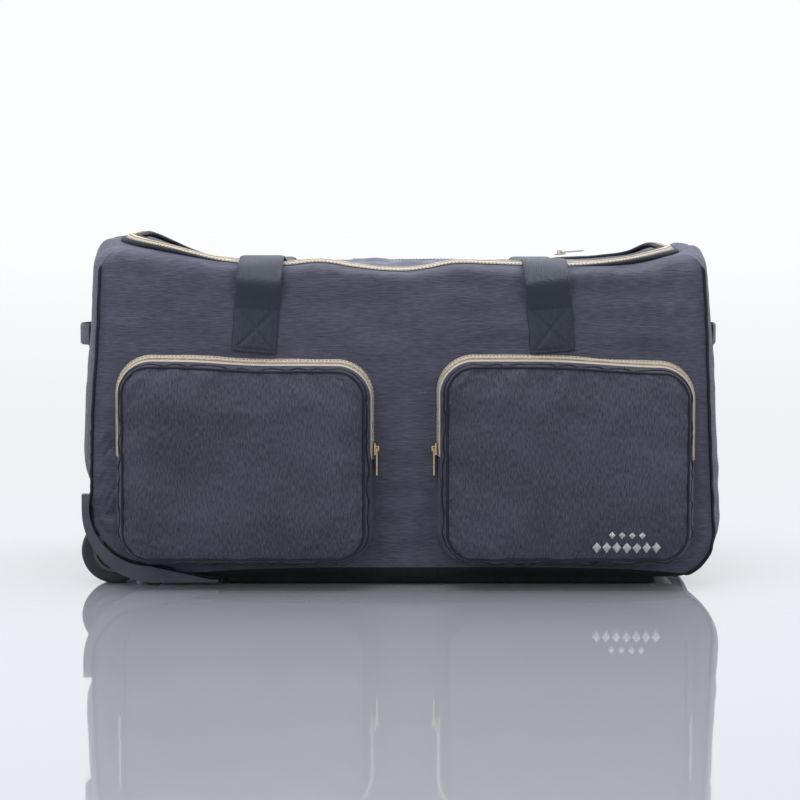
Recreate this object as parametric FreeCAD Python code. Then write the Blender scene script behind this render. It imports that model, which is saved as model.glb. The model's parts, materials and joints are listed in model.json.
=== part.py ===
"""A wheeled duffel bag, 28 inches long, lying flat on its base.

The row frame has its origin on the ground under the middle of the base, +X towards the end with the trolley
grip, +Y towards the back and +Z up. The wheels are at the -X end and the two pockets are on the -Y face.
All sizes are in millimetres. Each node is written to parts/NODE.step.
"""

import FreeCAD
import Part
import math
import os

os.makedirs("parts", exist_ok=True)

V = FreeCAD.Vector
X_DIR, Y_DIR, Z_DIR = V(1, 0, 0), V(0, 1, 0), V(0, 0, 1)

# ---- driving dimensions ---------------------------------------------------------------------------------
HALF_LENGTH = 355.0          # fabric body, end to end is twice this
HALF_DEPTH = 165.0           # fabric body without the pockets
WALL = 3.0                   # padded fabric
FAR = 1000.0                 # longer than the bag, for cutting tools
GAP = 0.3                    # between pieces that move past each other

FLOOR_GAP = 8.0              # the fabric's height over the ground, which the skid rails fill
CORNER = 60.0                # lower corner at the grip end
WHEEL_CORNER = 66.0          # lower corner at the wheel end, which the wheel housings wrap
CORNER_X, CORNER_Z = -283.0, 90.0    # centre of that corner's arc
RAMP_X = -213.0              # where the base starts to rise towards the wheels
SHOULDER_X, SHOULDER_Z = 341.0, 352.0    # where the leaning ends start to curve over to the top
BASE_ROUND = 12.0            # where front and back roll under to the base
ROOF_Z = 340.0               # above this height the fabric counts as the top
FRONT_ROUND = 24.0           # where front and back roll over to the top

OPENING_HALF = 308.0         # main zip, outer edge of its tape
OPENING_FRONT = -148.0
OPENING_BACK = 132.0
OPENING_ROUND = 75.0
TAPE = 7.0                   # one side of a zip's tape
TAPE_THICK = 1.2
COIL = 1.5                   # half of the coil's width
COIL_PROUD = 1.0             # how far the coil stands over its tape
HINGE_HALF = 150.0           # stretch of fabric that the lid turns on

PIPING_R = 2.0

PULL_PIVOT = (0.6, 2.9)      # along and above a slider's plate
PULL_LONG = 30.0
MAIN_SLIDER_X = 199.0

WHEEL_R = 37.0
WHEEL_Z = WHEEL_R
WHEEL_WIDTH = 28.0
WHEEL_X = -325.0
WHEEL_Y = 134.0              # middle of the tyre, front and back alike
AXLE_R = 4.0
AXLE_START = -160.5          # the blind end of the front axle's bore
RUNNING_FIT = 0.05           # radial room between axle and bearing
BEARING_R, BEARING_WIDE = 9.0, 6.0
HOUSING_X, HOUSING_Z = -276.0, 86.0   # centre of the housing's outer curve
HOUSING_R = 82.0
HOUSING_BACK = 104.0         # the housing's inner side, from the middle plane
FOOT_X, FOOT_TOP = -206.0, 36.0       # the moulded foot between the housings

TUBE_Y = 80.0
TUBE_Z = 22.5
OUTER_TUBE_R = 11.0
INNER_TUBE_R = 9.0
TUBE_WALL = 1.2
TUBE_START, CUP_FLOOR_X = -296.0, 299.0
TROLLEY_TRAVEL = 420.0
GRIP_X, GRIP_Z, GRIP_R = 312.0, 24.0, 11.0
BOARD = 3.0                  # thickness of the base and end boards

RAIL_YS = (-140.0, 0.0, 140.0)
RAIL_WIDE = 24.0
RAIL_START, RAIL_END = -196.0, 288.0
RIVET_R = 2.5

POCKET_WIDTH = 290.0
POCKET_GAP = 70.0
POCKET_SHIFT = 6.0           # the pair of pockets sits this far towards the grip end
POCKET_LOW, POCKET_HIGH = 24.0, 264.0
POCKET_DEPTH = 45.0
POCKET_TAPER = 9.0           # how far the front is smaller than the back, on each side
POCKET_ROUND = 55.0
POCKET_FOLD_Z = 148.0        # where the zip ends and the flap folds
POCKET_WALL = 2.5
SLIDER_CLEAR = 0.6           # between a slider's plate and the coil it runs on

STRAP = 50.0
STRAP_THICK = 1.8
STRAP_X = 163.0
STRAP_LOW = 266.0
STRAP_HIGH = 369.0
LOOP_REACH = 107.0           # how far a carry loop's inner edge reaches over the lid

GRAB_Z = 278.0
GRAB_HALF = 50.0             # half the span of an end's grab loop
GRAB_OUT = 26.0


# ---- small helpers ----------------------------------------------------------------------------------------
def box(x0, x1, y0, y1, z0, z1):
    """A box between two corners."""
    return Part.makeBox(x1 - x0, y1 - y0, z1 - z0, V(x0, y0, z0))


def rod(x, y, z, radius, length, direction):
    """A cylinder that starts at a point."""
    return Part.makeCylinder(radius, length, V(x, y, z), direction)


def along_y(wire, y0, y1):
    """A closed XZ outline made into a solid from y0 to y1."""
    face = Part.Face(wire)
    face.translate(V(0, y0, 0))
    return face.extrude(V(0, y1 - y0, 0))


def line(a, b):
    return Part.LineSegment(a, b).toShape()


def arc(a, middle, b):
    return Part.Arc(a, middle, b).toShape()


def corner_arc(centre, radius, start, end, plane="xz"):
    """An arc about a centre, between two angles in degrees."""
    points = []
    for angle in (start, (start + end) / 2, end):
        a = math.radians(angle)
        u, v = centre[0] + radius * math.cos(a), centre[1] + radius * math.sin(a)
        points.append(V(u, 0, v) if plane == "xz" else V(u, v, 0))
    return arc(*points)


def round_rect(u0, u1, v0, v1, radius, plane="xz"):
    """A closed rounded rectangle in the XZ or the XY plane."""
    def at(u, v):
        return V(u, 0, v) if plane == "xz" else V(u, v, 0)

    r = radius
    return Part.Wire([
        line(at(u0 + r, v0), at(u1 - r, v0)),
        corner_arc((u1 - r, v0 + r), r, -90, 0, plane),
        line(at(u1, v0 + r), at(u1, v1 - r)),
        corner_arc((u1 - r, v1 - r), r, 0, 90, plane),
        line(at(u1 - r, v1), at(u0 + r, v1)),
        corner_arc((u0 + r, v1 - r), r, 90, 180, plane),
        line(at(u0, v1 - r), at(u0, v0 + r)),
        corner_arc((u0 + r, v0 + r), r, 180, 270, plane),
    ])


def mirror_y(shape):
    return shape.mirror(V(0, 0, 0), Y_DIR)


def mirror_x(shape):
    return shape.mirror(V(0, 0, 0), X_DIR)


def save(node, *solids):
    """Write one node, as one solid or as a group of separate ones."""
    pieces = [s for shape in solids for s in shape.Solids]
    shape = pieces[0] if len(pieces) == 1 else Part.makeCompound(pieces)
    if not pieces or not shape.isValid():
        raise ValueError("bad solid in " + node)
    shape.exportStep("parts/" + node + ".step")


# ---- the body's outer shape -------------------------------------------------------------------------------
TOP_LINE = [(-312, 397), (-279, 388), (-246, 381), (-200, 370), (-150, 366), (0, 364), (150, 366), (205, 368),
            (257, 375), (290, 386), (312, 393)]


def top_curve(down=0.0):
    """The sagging top line as a spline, lowered by down."""
    spline = Part.BSplineCurve()
    spline.interpolate([V(x, 0, z - down) for x, z in TOP_LINE])
    return spline


def top_z(x):
    """Height of the top at x."""
    upright = Part.LineSegment(V(x, 0, 0), V(x, 0, FAR))
    return top_curve().intersect(upright)[0].Z


def side_x(z):
    """The body's half length at a height between the lower corner and the shoulder."""
    low, high = FLOOR_GAP + CORNER, SHOULDER_Z
    return HALF_LENGTH + (SHOULDER_X - HALF_LENGTH) * (z - low) / (high - low)


def wheel_end_lean(z):
    """How much less the wheel end's wall stands out than the grip end's at the same height."""
    low = CORNER_X - WHEEL_CORNER
    return side_x(z) + low + (z - CORNER_Z) / (SHOULDER_Z - CORNER_Z) * (-SHOULDER_X - low)


def silhouette(inset=0.0):
    """The body seen from the front, moved inwards by inset, and left open at the top."""
    i = inset
    low = FLOOR_GAP + i
    shoulder, corner = SHOULDER_X - i, CORNER - i
    left_top, right_top = V(TOP_LINE[0][0], 0, TOP_LINE[0][1] - i), V(TOP_LINE[-1][0], 0, TOP_LINE[-1][1] - i)
    wheel_r = WHEEL_CORNER - i
    lower_right = V(HALF_LENGTH - i, 0, FLOOR_GAP + CORNER)
    lower_left = V(CORNER_X - wheel_r, 0, CORNER_Z)
    ramp_end = V(RAMP_X, 0, low)
    high = V(0, 0, FAR / 2)
    return Part.Wire([
        line(ramp_end, V(HALF_LENGTH - CORNER, 0, low)),
        corner_arc((HALF_LENGTH - CORNER, FLOOR_GAP + CORNER), corner, -90, 0),
        line(lower_right, V(shoulder, 0, SHOULDER_Z)),
        arc(V(shoulder, 0, SHOULDER_Z), V(shoulder - 9, 0, right_top.z - 11), right_top),
        line(right_top, right_top + high),
        line(right_top + high, left_top + high),
        line(left_top + high, left_top),
        arc(left_top, V(-shoulder + 9, 0, left_top.z - 12), V(-shoulder, 0, SHOULDER_Z)),
        line(V(-shoulder, 0, SHOULDER_Z), lower_left),
        corner_arc((CORNER_X, CORNER_Z), wheel_r, 180, 270),
        line(V(CORNER_X, 0, CORNER_Z - wheel_r), ramp_end),
    ])


def side_profile(x, top, inset):
    """A slice across the body at x: upright sides that roll over to the top and under to the base."""
    half, low, high = HALF_DEPTH - inset, FLOOR_GAP + inset, top - inset
    rounds = [(half, low, BASE_ROUND - inset, -90), (half, high, FRONT_ROUND - inset, 0),
              (-half, high, FRONT_ROUND - inset, 90), (-half, low, BASE_ROUND - inset, 180)]
    turns = []
    for y, z, r, start in rounds:
        cy = y - math.copysign(r, y)
        cz = z + r if z == low else z - r
        angles = [math.radians(start + part) for part in (0, 45, 90)]
        turns.append([V(x, cy + r * math.cos(a), cz + r * math.sin(a)) for a in angles])
    edges = []
    for i, turn in enumerate(turns):
        edges.append(arc(*turn))
        edges.append(line(turn[-1], turns[(i + 1) % 4][0]))
    return Part.Wire(edges)


def body_solid(inset=0.0):
    """The whole body as one solid block with rolled edges, moved inwards by inset."""
    first, last = TOP_LINE[0], TOP_LINE[-1]
    stations = [(first[0] - 120, first[1]), *TOP_LINE, (last[0] + 120, last[1])]
    rolled = Part.makeLoft([side_profile(x, z, inset) for x, z in stations], True, False)
    return rolled.common(along_y(silhouette(inset), -FAR / 2, FAR / 2))


def prism(wire):
    """An XY outline as an upright solid through the top of the bag."""
    face = Part.Face(wire)
    face.translate(V(0, 0, ROOF_Z))
    return face.extrude(V(0, 0, FAR))


def opening(inset):
    """The main zip's outline, moved inwards by inset."""
    i = inset
    return prism(round_rect(-OPENING_HALF + i, OPENING_HALF - i, OPENING_FRONT + i, OPENING_BACK - i,
                            OPENING_ROUND - i, plane="xy"))


def top_skin(above, below):
    """A sheet that follows the top and its rolled edges, from above the surface to below it."""
    return body_solid(-above).cut(body_solid(below)).common(box(-FAR, FAR, -FAR, FAR, ROOF_Z, FAR))


# ---- the fabric shell -------------------------------------------------------------------------------------
def housing_clearance():
    """The room behind the front panel that one wheel housing takes out of the fabric."""
    return box(-FAR, CORNER_X + 7.0, -HALF_DEPTH + WALL, -HOUSING_BACK + GAP, -1.0, 86.0)


def cup_room(grow=0.0):
    """The room of the trolley's recessed cup."""
    g = grow
    return box(296.0 - g, FAR, -98.0 - g, 98.0 + g, FLOOR_GAP - g, 59.0 + g)


def foot_room(grow=0.0):
    """The room of the moulded foot between the wheel housings."""
    g = grow
    wide = HOUSING_BACK - GAP + g
    return box(-FAR, FOOT_X + g, -wide, wide, 0, FOOT_TOP + g)


def build_shell():
    """The sewn panels, cut out of one hollow shell so that they meet edge to edge."""
    shell = body_solid().cut(body_solid(WALL)).cut(opening(0.0))
    notch = housing_clearance()
    for room in (notch, mirror_y(notch), cup_room(GAP), foot_room(GAP)):
        shell = shell.cut(room)
    for x, y in rivet_places():
        shell = shell.cut(rod(x, y, 0, RIVET_R, 20, Z_DIR))
    face_y = HALF_DEPTH - WALL
    front_room = box(-FAR, FAR, -FAR, -face_y, -1, FAR).fuse(box(-FAR, FAR, -FAR, OPENING_FRONT, ROOF_Z, FAR))
    back_room = box(-FAR, FAR, face_y, FAR, -1, FAR).fuse(box(-FAR, FAR, OPENING_BACK, FAR, ROOF_Z, FAR))
    rest = shell.cut(front_room).cut(back_room)
    save("front_panel", shell.common(front_room))
    save("back_panel", shell.common(back_room))
    seam = 270.0
    save("wheel_end_top", rest.common(box(-FAR, 0, -FAR, FAR, ROOF_Z, FAR)))
    save("grip_end_top", rest.common(box(0, FAR, -FAR, FAR, ROOF_Z, FAR)))
    save("wheel_end_panel", rest.common(box(-FAR, -seam, -FAR, FAR, CORNER_Z, ROOF_Z)))
    save("grip_end_panel", rest.common(box(seam, FAR, -FAR, FAR, FLOOR_GAP + CORNER, ROOF_Z)))
    low_left = box(-FAR, seam, -FAR, FAR, -1, CORNER_Z)
    low_right = box(seam, FAR, -FAR, FAR, -1, FLOOR_GAP + CORNER)
    save("bottom_panel", rest.common(low_left.fuse(low_right)))


def piping_piece(y, path):
    """A round cord along a wire in an XZ plane at y."""
    path.translate(V(0, y, 0))
    first = path.OrderedVertexes[0].Point
    second = path.OrderedEdges[0].valueAt(path.OrderedEdges[0].LastParameter)
    if second.isEqual(first, 0.01):
        second = path.OrderedEdges[0].valueAt(path.OrderedEdges[0].FirstParameter)
    circle = Part.Wire([Part.makeCircle(PIPING_R, first, second - first)])
    return path.makePipeShell([circle], True, False)


def build_piping():
    """Cords sewn down both ends of a face, a little inside its edges."""
    y = -HALF_DEPTH - PIPING_R - GAP
    right, low, r = 342.0, FLOOR_GAP + BASE_ROUND, 48.0
    grip_side = Part.Wire([
        line(V(right - 6.0, 0, ROOF_Z), V(right, 0, low + r)),
        corner_arc((right - r, low + r), r, 0, -90),
        line(V(right - r, 0, low), V(right - r - 30.0, 0, low)),
    ])
    wheel_side = Part.Wire([line(V(-333.0, 0, ROOF_Z), V(-345.0, 0, 120.0))])
    cords = [piping_piece(y, grip_side), piping_piece(y, wheel_side)]
    save("front_piping", *cords)
    save("back_piping", *[mirror_y(c) for c in cords])


# ---- the main zip and the lid -----------------------------------------------------------------------------
def build_lid():
    """Zip tapes on the body and on the lid, and the lid's panel, which turns on the back rim."""
    split = 0.2
    hinge_room = box(-HINGE_HALF, HINGE_HALF, OPENING_BACK - 2 * TAPE, FAR, 0, FAR)
    tape_sheet, coil_sheet = top_skin(0, TAPE_THICK), top_skin(COIL_PROUD, TAPE_THICK)
    body_tape = tape_sheet.common(opening(0.0).cut(opening(TAPE - split)))
    body_coil = coil_sheet.common(opening(TAPE - COIL).cut(opening(TAPE - split)))
    lid_tape = tape_sheet.common(opening(TAPE + split).cut(opening(2 * TAPE)))
    lid_coil = coil_sheet.common(opening(TAPE + split).cut(opening(TAPE + COIL)))
    panel_sheet = top_skin(0, WALL)
    panel = panel_sheet.common(opening(2 * TAPE))
    hinge_strip = panel_sheet.common(opening(GAP)).common(
        box(-HINGE_HALF + 1, HINGE_HALF - 1, OPENING_BACK - 2 * TAPE - 2, FAR, 0, FAR))
    save("main_zip_body_side", body_tape.fuse(body_coil).cut(hinge_room).removeSplitter())
    save("main_zip_lid_side", lid_tape.fuse(lid_coil).cut(hinge_room).removeSplitter())
    save("lid_panel", panel.fuse(hinge_strip).removeSplitter())


def slider_parts():
    """A zip slider lying in the XY plane and its pull.

    The plate's lower face is at z 0 and runs along X. The pull turns on the Y axis under the bridge and
    points along -X.
    """
    plate_long, plate_wide, plate, wall = 13.0, 9.0, 1.6, 1.2
    bridge_reach, bridge_room = 2.2, 2.6
    top = plate + bridge_room + wall
    base = box(-plate_long / 2, plate_long / 2, -plate_wide / 2, plate_wide / 2, 0, plate)
    near_leg = box(-bridge_reach, -bridge_reach + wall, -wall, wall, plate, top)
    far_leg = box(bridge_reach, bridge_reach + wall, -wall, wall, plate, top)
    roof = box(-bridge_reach, bridge_reach + wall, -wall, wall, top - wall, top)
    slider = base.fuse([near_leg, far_leg, roof]).removeSplitter()

    pin_r, half_wide, loop_long = 0.7, 3.6, 8.0
    x, z = PULL_PIVOT
    pin = rod(x, -half_wide, z, pin_r, 2 * half_wide, Y_DIR)
    sides = [box(x - loop_long, x, y, y + wall, z - pin_r, z + pin_r) for y in (-half_wide, half_wide - wall)]
    blade = box(x - PULL_LONG, x - loop_long, -half_wide, half_wide, z - pin_r, z + pin_r)
    return slider, pin.fuse([*sides, blade]).removeSplitter()


def build_main_slider():
    """The main zip's slider, parked where the zip ends on the back run."""
    reach = 28.0
    climb = math.atan2(top_z(MAIN_SLIDER_X + reach) - top_z(MAIN_SLIDER_X), reach)
    clear = COIL_PROUD + 0.8
    place = V(MAIN_SLIDER_X, OPENING_BACK - TAPE, top_z(MAIN_SLIDER_X) + clear)
    for node, shape in zip(("main_slider", "main_pull"), slider_parts()):
        shape.rotate(V(0, 0, 0), Z_DIR, 180)
        shape.rotate(V(0, 0, 0), Y_DIR, -math.degrees(climb))
        shape.translate(place)
        save(node, shape)


# ---- pockets ----------------------------------------------------------------------------------------------
def pocket_outline(centre, depth, inset):
    """The pocket's rounded outline at a depth in front of the body, as a wire at that depth."""
    share = depth / POCKET_DEPTH
    i = inset + POCKET_TAPER * share
    wire = round_rect(centre - POCKET_WIDTH / 2 + i, centre + POCKET_WIDTH / 2 - i,
                      POCKET_LOW + i * 0.8, POCKET_HIGH - i * 0.8, POCKET_ROUND - i)
    wire.translate(V(0, -HALF_DEPTH - depth, 0))
    return wire


def pocket_block(centre, near, far, inset):
    """The pocket's solid between two depths."""
    ends = [pocket_outline(centre, depth, inset) for depth in (near, far)]
    return Part.makeLoft(ends, True, True)


def build_pocket(name, centre, slider_side):
    """A pocket: a sewn lower part, a flap above the fold, the zip's two sides, a slider and a pull."""
    above = box(-FAR, FAR, -FAR, FAR, POCKET_FOLD_Z + GAP, FAR)
    below = box(-FAR, FAR, -FAR, FAR, 0, POCKET_FOLD_Z)
    near = GAP
    lower = pocket_block(centre, near, POCKET_DEPTH, 0).cut(
        pocket_block(centre, near - 1, POCKET_DEPTH - POCKET_WALL, POCKET_WALL)).common(below)
    flap_near = near + 2 * TAPE
    flap = pocket_block(centre, flap_near, POCKET_DEPTH, 0).cut(
        pocket_block(centre, flap_near - 1, POCKET_DEPTH - POCKET_WALL, POCKET_WALL)).common(above)

    def zip_side(a, b, coil_a, coil_b):
        """One tape between two depths, with its half of the coil."""
        tape = pocket_block(centre, a, b, 0).cut(pocket_block(centre, a - 1, b + 1, TAPE_THICK))
        coil = pocket_block(centre, coil_a, coil_b, -COIL_PROUD).cut(
            pocket_block(centre, coil_a - 1, coil_b + 1, TAPE_THICK))
        return tape.fuse(coil).common(above).removeSplitter()

    middle, split = near + TAPE, 0.2
    save(name + "_pocket_lower", lower)
    save(name + "_pocket_flap", flap)
    body_edge, flap_edge = middle - split, middle + split
    save(name + "_pocket_zip_body_side", zip_side(near, body_edge, middle - COIL, body_edge))
    save(name + "_pocket_zip_flap_side", zip_side(flap_edge, flap_near - GAP, flap_edge, middle + COIL))

    slider, pull = slider_parts()
    edge = POCKET_WIDTH / 2 - POCKET_TAPER * middle / POCKET_DEPTH
    x = centre + slider_side * (edge + COIL_PROUD + SLIDER_CLEAR)
    for shape in (slider, pull):
        shape.rotate(V(0, 0, 0), Y_DIR, 90)        # the plate faces +X and the pull points up
        shape.rotate(V(0, 0, 0), X_DIR, 180)       # the pull hangs down
        if slider_side < 0:
            shape.rotate(V(0, 0, 0), Z_DIR, 180)
        shape.translate(V(x, -HALF_DEPTH - middle, POCKET_FOLD_Z + 8.0))
    save(name + "_pocket_slider", slider)
    save(name + "_pocket_pull", pull)


def pocket_centre(side):
    """The pocket's middle along X, for side -1 or 1."""
    return POCKET_SHIFT + side * (POCKET_GAP + POCKET_WIDTH) / 2


# ---- webbing ----------------------------------------------------------------------------------------------
def build_carry_handle(name, flip):
    """Two sewn risers on a face, and the loop between them, which lies back over the lid."""
    y0 = -HALF_DEPTH - GAP
    risers = [box(x - STRAP / 2, x + STRAP / 2, y0 - STRAP_THICK, y0, STRAP_LOW, STRAP_HIGH)
              for x in (-STRAP_X, STRAP_X)]
    z0 = STRAP_HIGH + GAP + 0.4
    wide, narrow, bend = STRAP_X + STRAP / 2, STRAP_X - STRAP / 2, 25.0
    outer = round_rect(-wide, wide, y0 - FAR / 5, y0 + LOOP_REACH + STRAP, bend + STRAP, "xy")
    inner = round_rect(-narrow, narrow, y0 - FAR / 4, y0 + LOOP_REACH, bend, "xy")
    plan = Part.Face(outer).cut(Part.Face(inner)).common(
        Part.makePlane(FAR, FAR / 2, V(-FAR / 2, y0 - STRAP_THICK, 0)))
    plan.translate(V(0, 0, z0))
    loop = plan.extrude(V(0, 0, STRAP_THICK))
    if flip:
        risers, loop = [mirror_y(r) for r in risers], mirror_y(loop)
    save(name + "_handle_risers", *risers)
    save(name + "_handle_loop", loop)


def build_grab_handle(name, flip):
    """A webbing grab loop that stands out from an end, between two sewn ends."""
    half_high, thick = 12.5, 2.0
    wall_x = side_x(GRAB_Z - half_high) + GAP
    pads = [box(wall_x, wall_x + thick, y, y + 22.0, GRAB_Z - half_high, GRAB_Z + half_high)
            for y in (-GRAB_HALF - 23.0, GRAB_HALF + 1.0)]

    def bow(out):
        return arc(V(wall_x + 1.2 + out, -GRAB_HALF, 0), V(wall_x + GRAB_OUT + out, 0, 0),
                   V(wall_x + 1.2 + out, GRAB_HALF, 0))

    ends = [line(V(wall_x + 1.2, y, 0), V(wall_x + 1.2 + thick, y, 0)) for y in (-GRAB_HALF, GRAB_HALF)]
    face = Part.Face(Part.Wire(Part.__sortEdges__([bow(0), ends[0], bow(thick), ends[1]])))
    face.translate(V(0, 0, GRAB_Z - half_high))
    loop = face.extrude(V(0, 0, 2 * half_high))
    if flip:
        pads, loop = [mirror_x(p) for p in pads], mirror_x(loop)
    save(name + "_grab_pads", *pads)
    save(name + "_grab_loop", loop)


# ---- wheels and their housings ----------------------------------------------------------------------------
def housing_outline():
    """The moulded band that wraps the lower corner, seen from the front, with a tail along the base."""
    left, low = HOUSING_X - HOUSING_R, HOUSING_Z - HOUSING_R
    band_r = WHEEL_CORNER + 1.0
    inner_left = CORNER_X - band_r
    top, tail_x, tail_low, tail_high = 104.0, -205.0, low + 0.5, FLOOR_GAP - GAP
    ramp = V(CORNER_X, 0, CORNER_Z - band_r)
    return Part.Wire([
        line(V(left, 0, top), V(left, 0, HOUSING_Z)),
        corner_arc((HOUSING_X, HOUSING_Z), HOUSING_R, 180, 270),
        line(V(HOUSING_X, 0, low), V(tail_x, 0, tail_low)),
        line(V(tail_x, 0, tail_low), V(tail_x, 0, tail_high)),
        line(V(tail_x, 0, tail_high), V(RAMP_X, 0, tail_high - 0.2)),
        line(V(RAMP_X, 0, tail_high - 0.2), ramp),
        corner_arc((CORNER_X, CORNER_Z), band_r, 270, 180),
        line(V(inner_left, 0, CORNER_Z), V(inner_left + 1.5, 0, top)),
        line(V(inner_left + 1.5, 0, top), V(left, 0, top)),
    ])


def wheel_rod(start, length, radius):
    """A cylinder on the front wheel's axis, from y start."""
    return rod(WHEEL_X, start, WHEEL_Z, radius, length, Y_DIR)


def build_housing():
    """The moulded housing: a band round the corner, a box over the wheel, and bosses for the axle."""
    front, flange_back = -HALF_DEPTH - 3.0, -HALF_DEPTH + WALL + 6.0
    band = along_y(housing_outline(), front, flange_back)
    room = wheel_rod(-WHEEL_Y - WHEEL_WIDTH / 2 - 3.0, WHEEL_WIDTH + 6.0, WHEEL_R + 5.0)
    outer = Part.Wire([
        corner_arc((HOUSING_X, HOUSING_Z), HOUSING_R, 180, 270),
        line(V(HOUSING_X, 0, HOUSING_Z - HOUSING_R), V(HOUSING_X, 0, HOUSING_Z)),
        line(V(HOUSING_X, 0, HOUSING_Z), V(HOUSING_X - HOUSING_R, 0, HOUSING_Z)),
    ])
    box_front = -HALF_DEPTH + WALL + GAP
    arch = wheel_rod(box_front, -HOUSING_BACK - box_front, WHEEL_R + 8.0)
    arch = arch.common(along_y(outer, -FAR / 2, FAR / 2))
    skin = along_y(outer, box_front, -HOUSING_BACK).cut(
        rod(HOUSING_X, -FAR / 2, HOUSING_Z, HOUSING_R - 3.0, FAR, Y_DIR))
    housing = band.fuse(skin).fuse(arch).cut(room)
    inner_face = -WHEEL_Y + WHEEL_WIDTH / 2
    for start in (-WHEEL_Y - WHEEL_WIDTH / 2 - 4.0, inner_face + 0.5):
        housing = housing.fuse(wheel_rod(start, 3.5, AXLE_R + 3.0))
    return housing.cut(wheel_rod(AXLE_START, FAR / 5, AXLE_R)).removeSplitter()


def build_wheel(name, flip):
    """A housing, an axle that crosses it, and a wheel that runs on the axle on two bearings."""
    def place(*shapes):
        return [mirror_y(shape) for shape in shapes] if flip else shapes

    save(name + "_wheel_housing", *place(build_housing()))
    save(name + "_wheel_axle", *place(wheel_rod(AXLE_START, -HOUSING_BACK - AXLE_START, AXLE_R)))

    y0, rim_r, web = -WHEEL_Y - WHEEL_WIDTH / 2, 24.0, 6.0
    tyre = wheel_rod(y0, WHEEL_WIDTH, WHEEL_R)
    tyre = tyre.makeFillet(6.0, [e for e in tyre.Edges if isinstance(e.Curve, Part.Circle)])
    save(name + "_wheel_tyre", *place(tyre.cut(wheel_rod(y0 - 1, WHEEL_WIDTH + 2, rim_r))))

    hub_start, hub_width = y0 + 1.0, WHEEL_WIDTH - 2.0
    hub = wheel_rod(hub_start, hub_width, rim_r)
    for start in (hub_start, hub_start + hub_width - web):
        hub = hub.cut(wheel_rod(start, web, rim_r - 4.0))
    hub = hub.fuse(wheel_rod(hub_start, hub_width, BEARING_R + 3.5))
    hub = hub.cut(wheel_rod(hub_start, hub_width, AXLE_R + 1.5))
    seats = [hub_start, hub_start + hub_width - BEARING_WIDE]
    for seat in seats:
        hub = hub.cut(wheel_rod(seat, BEARING_WIDE, BEARING_R))
    save(name + "_wheel_hub", *place(hub.removeSplitter()))
    ring = [wheel_rod(seat, BEARING_WIDE, BEARING_R).cut(wheel_rod(seat, BEARING_WIDE, AXLE_R + RUNNING_FIT))
            for seat in seats]
    save(name + "_wheel_bearings", *place(*ring))


# ---- base, rails and the trolley --------------------------------------------------------------------------
def rivet_places():
    """Where the rails are riveted to the base."""
    return [(x, y) for x in (-176.0, 46.0, 268.0) for y in RAIL_YS]


def build_base():
    """The stiff board on the bag's floor, the boards in its ends, the skid rails and their rivets."""
    board_z = TUBE_Z + OUTER_TUBE_R + 3.0
    notch = box(-FAR, WHEEL_X + WHEEL_R + 12.0, -FAR, -HOUSING_BACK + 2.0, 0, FAR)
    board = box(-316, 330, -158, 158, board_z, board_z + BOARD)
    board = board.cut(notch).cut(mirror_y(notch)).cut(cup_room(1.0)).common(body_solid(WALL + 1.0))
    save("base_board", board)
    lower, upper, clear = 96.0, ROOF_Z, WALL + 1.0
    for name, flip in (("wheel_end_board", True), ("grip_end_board", False)):
        corners = [(side_x(lower) - clear, lower), (side_x(upper) - clear, upper),
                   (side_x(upper) - clear - BOARD, upper), (side_x(lower) - clear - BOARD, lower)]
        if flip:
            corners = [(-x + wheel_end_lean(z), z) for x, z in corners]
        plate = Part.Face(Part.makePolygon([V(x, -150, z) for x, z in corners + corners[:1]]))
        save(name, plate.extrude(V(0, 300, 0)))

    rail_high, head_r, head = FLOOR_GAP - GAP, 4.5, 1.5
    rails, rivets = [], []
    for y in RAIL_YS:
        rail = box(RAIL_START, RAIL_END, y - RAIL_WIDE / 2, y + RAIL_WIDE / 2, 0, rail_high)
        rails.append(rail.makeChamfer(4.0, [e for e in rail.Edges if abs(e.CenterOfMass.z) < 0.1]))
    for x, y in rivet_places():
        rivet = rod(x, y, 4.0, RIVET_R, 10.0, Z_DIR).fuse(rod(x, y, 4.0 - head, head_r, head, Z_DIR))
        rivets.append(rivet.fuse(rod(x, y, FLOOR_GAP + WALL, head_r, head, Z_DIR)).removeSplitter())
        sink = rod(x, y, -1, head_r, 5.0, Z_DIR).fuse(rod(x, y, 0, RIVET_R, 20, Z_DIR))
        rails = [rail.cut(sink) for rail in rails]
    save("skid_rails", *rails)
    save("rail_rivets", *rivets)


def build_foot():
    """The moulded foot between the wheel housings, which holds the trolley's tubes."""
    foot = body_solid().common(foot_room())
    hollow = box(-300, FOOT_X - 4, -60, 60, FLOOR_GAP + 4, FAR)
    foot = foot.cut(hollow.common(body_solid(4.0)))
    for y in (-TUBE_Y, TUBE_Y):
        foot = foot.cut(rod(TUBE_START, y, TUBE_Z, OUTER_TUBE_R, FAR, X_DIR))
    save("trolley_foot", foot)


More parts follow.
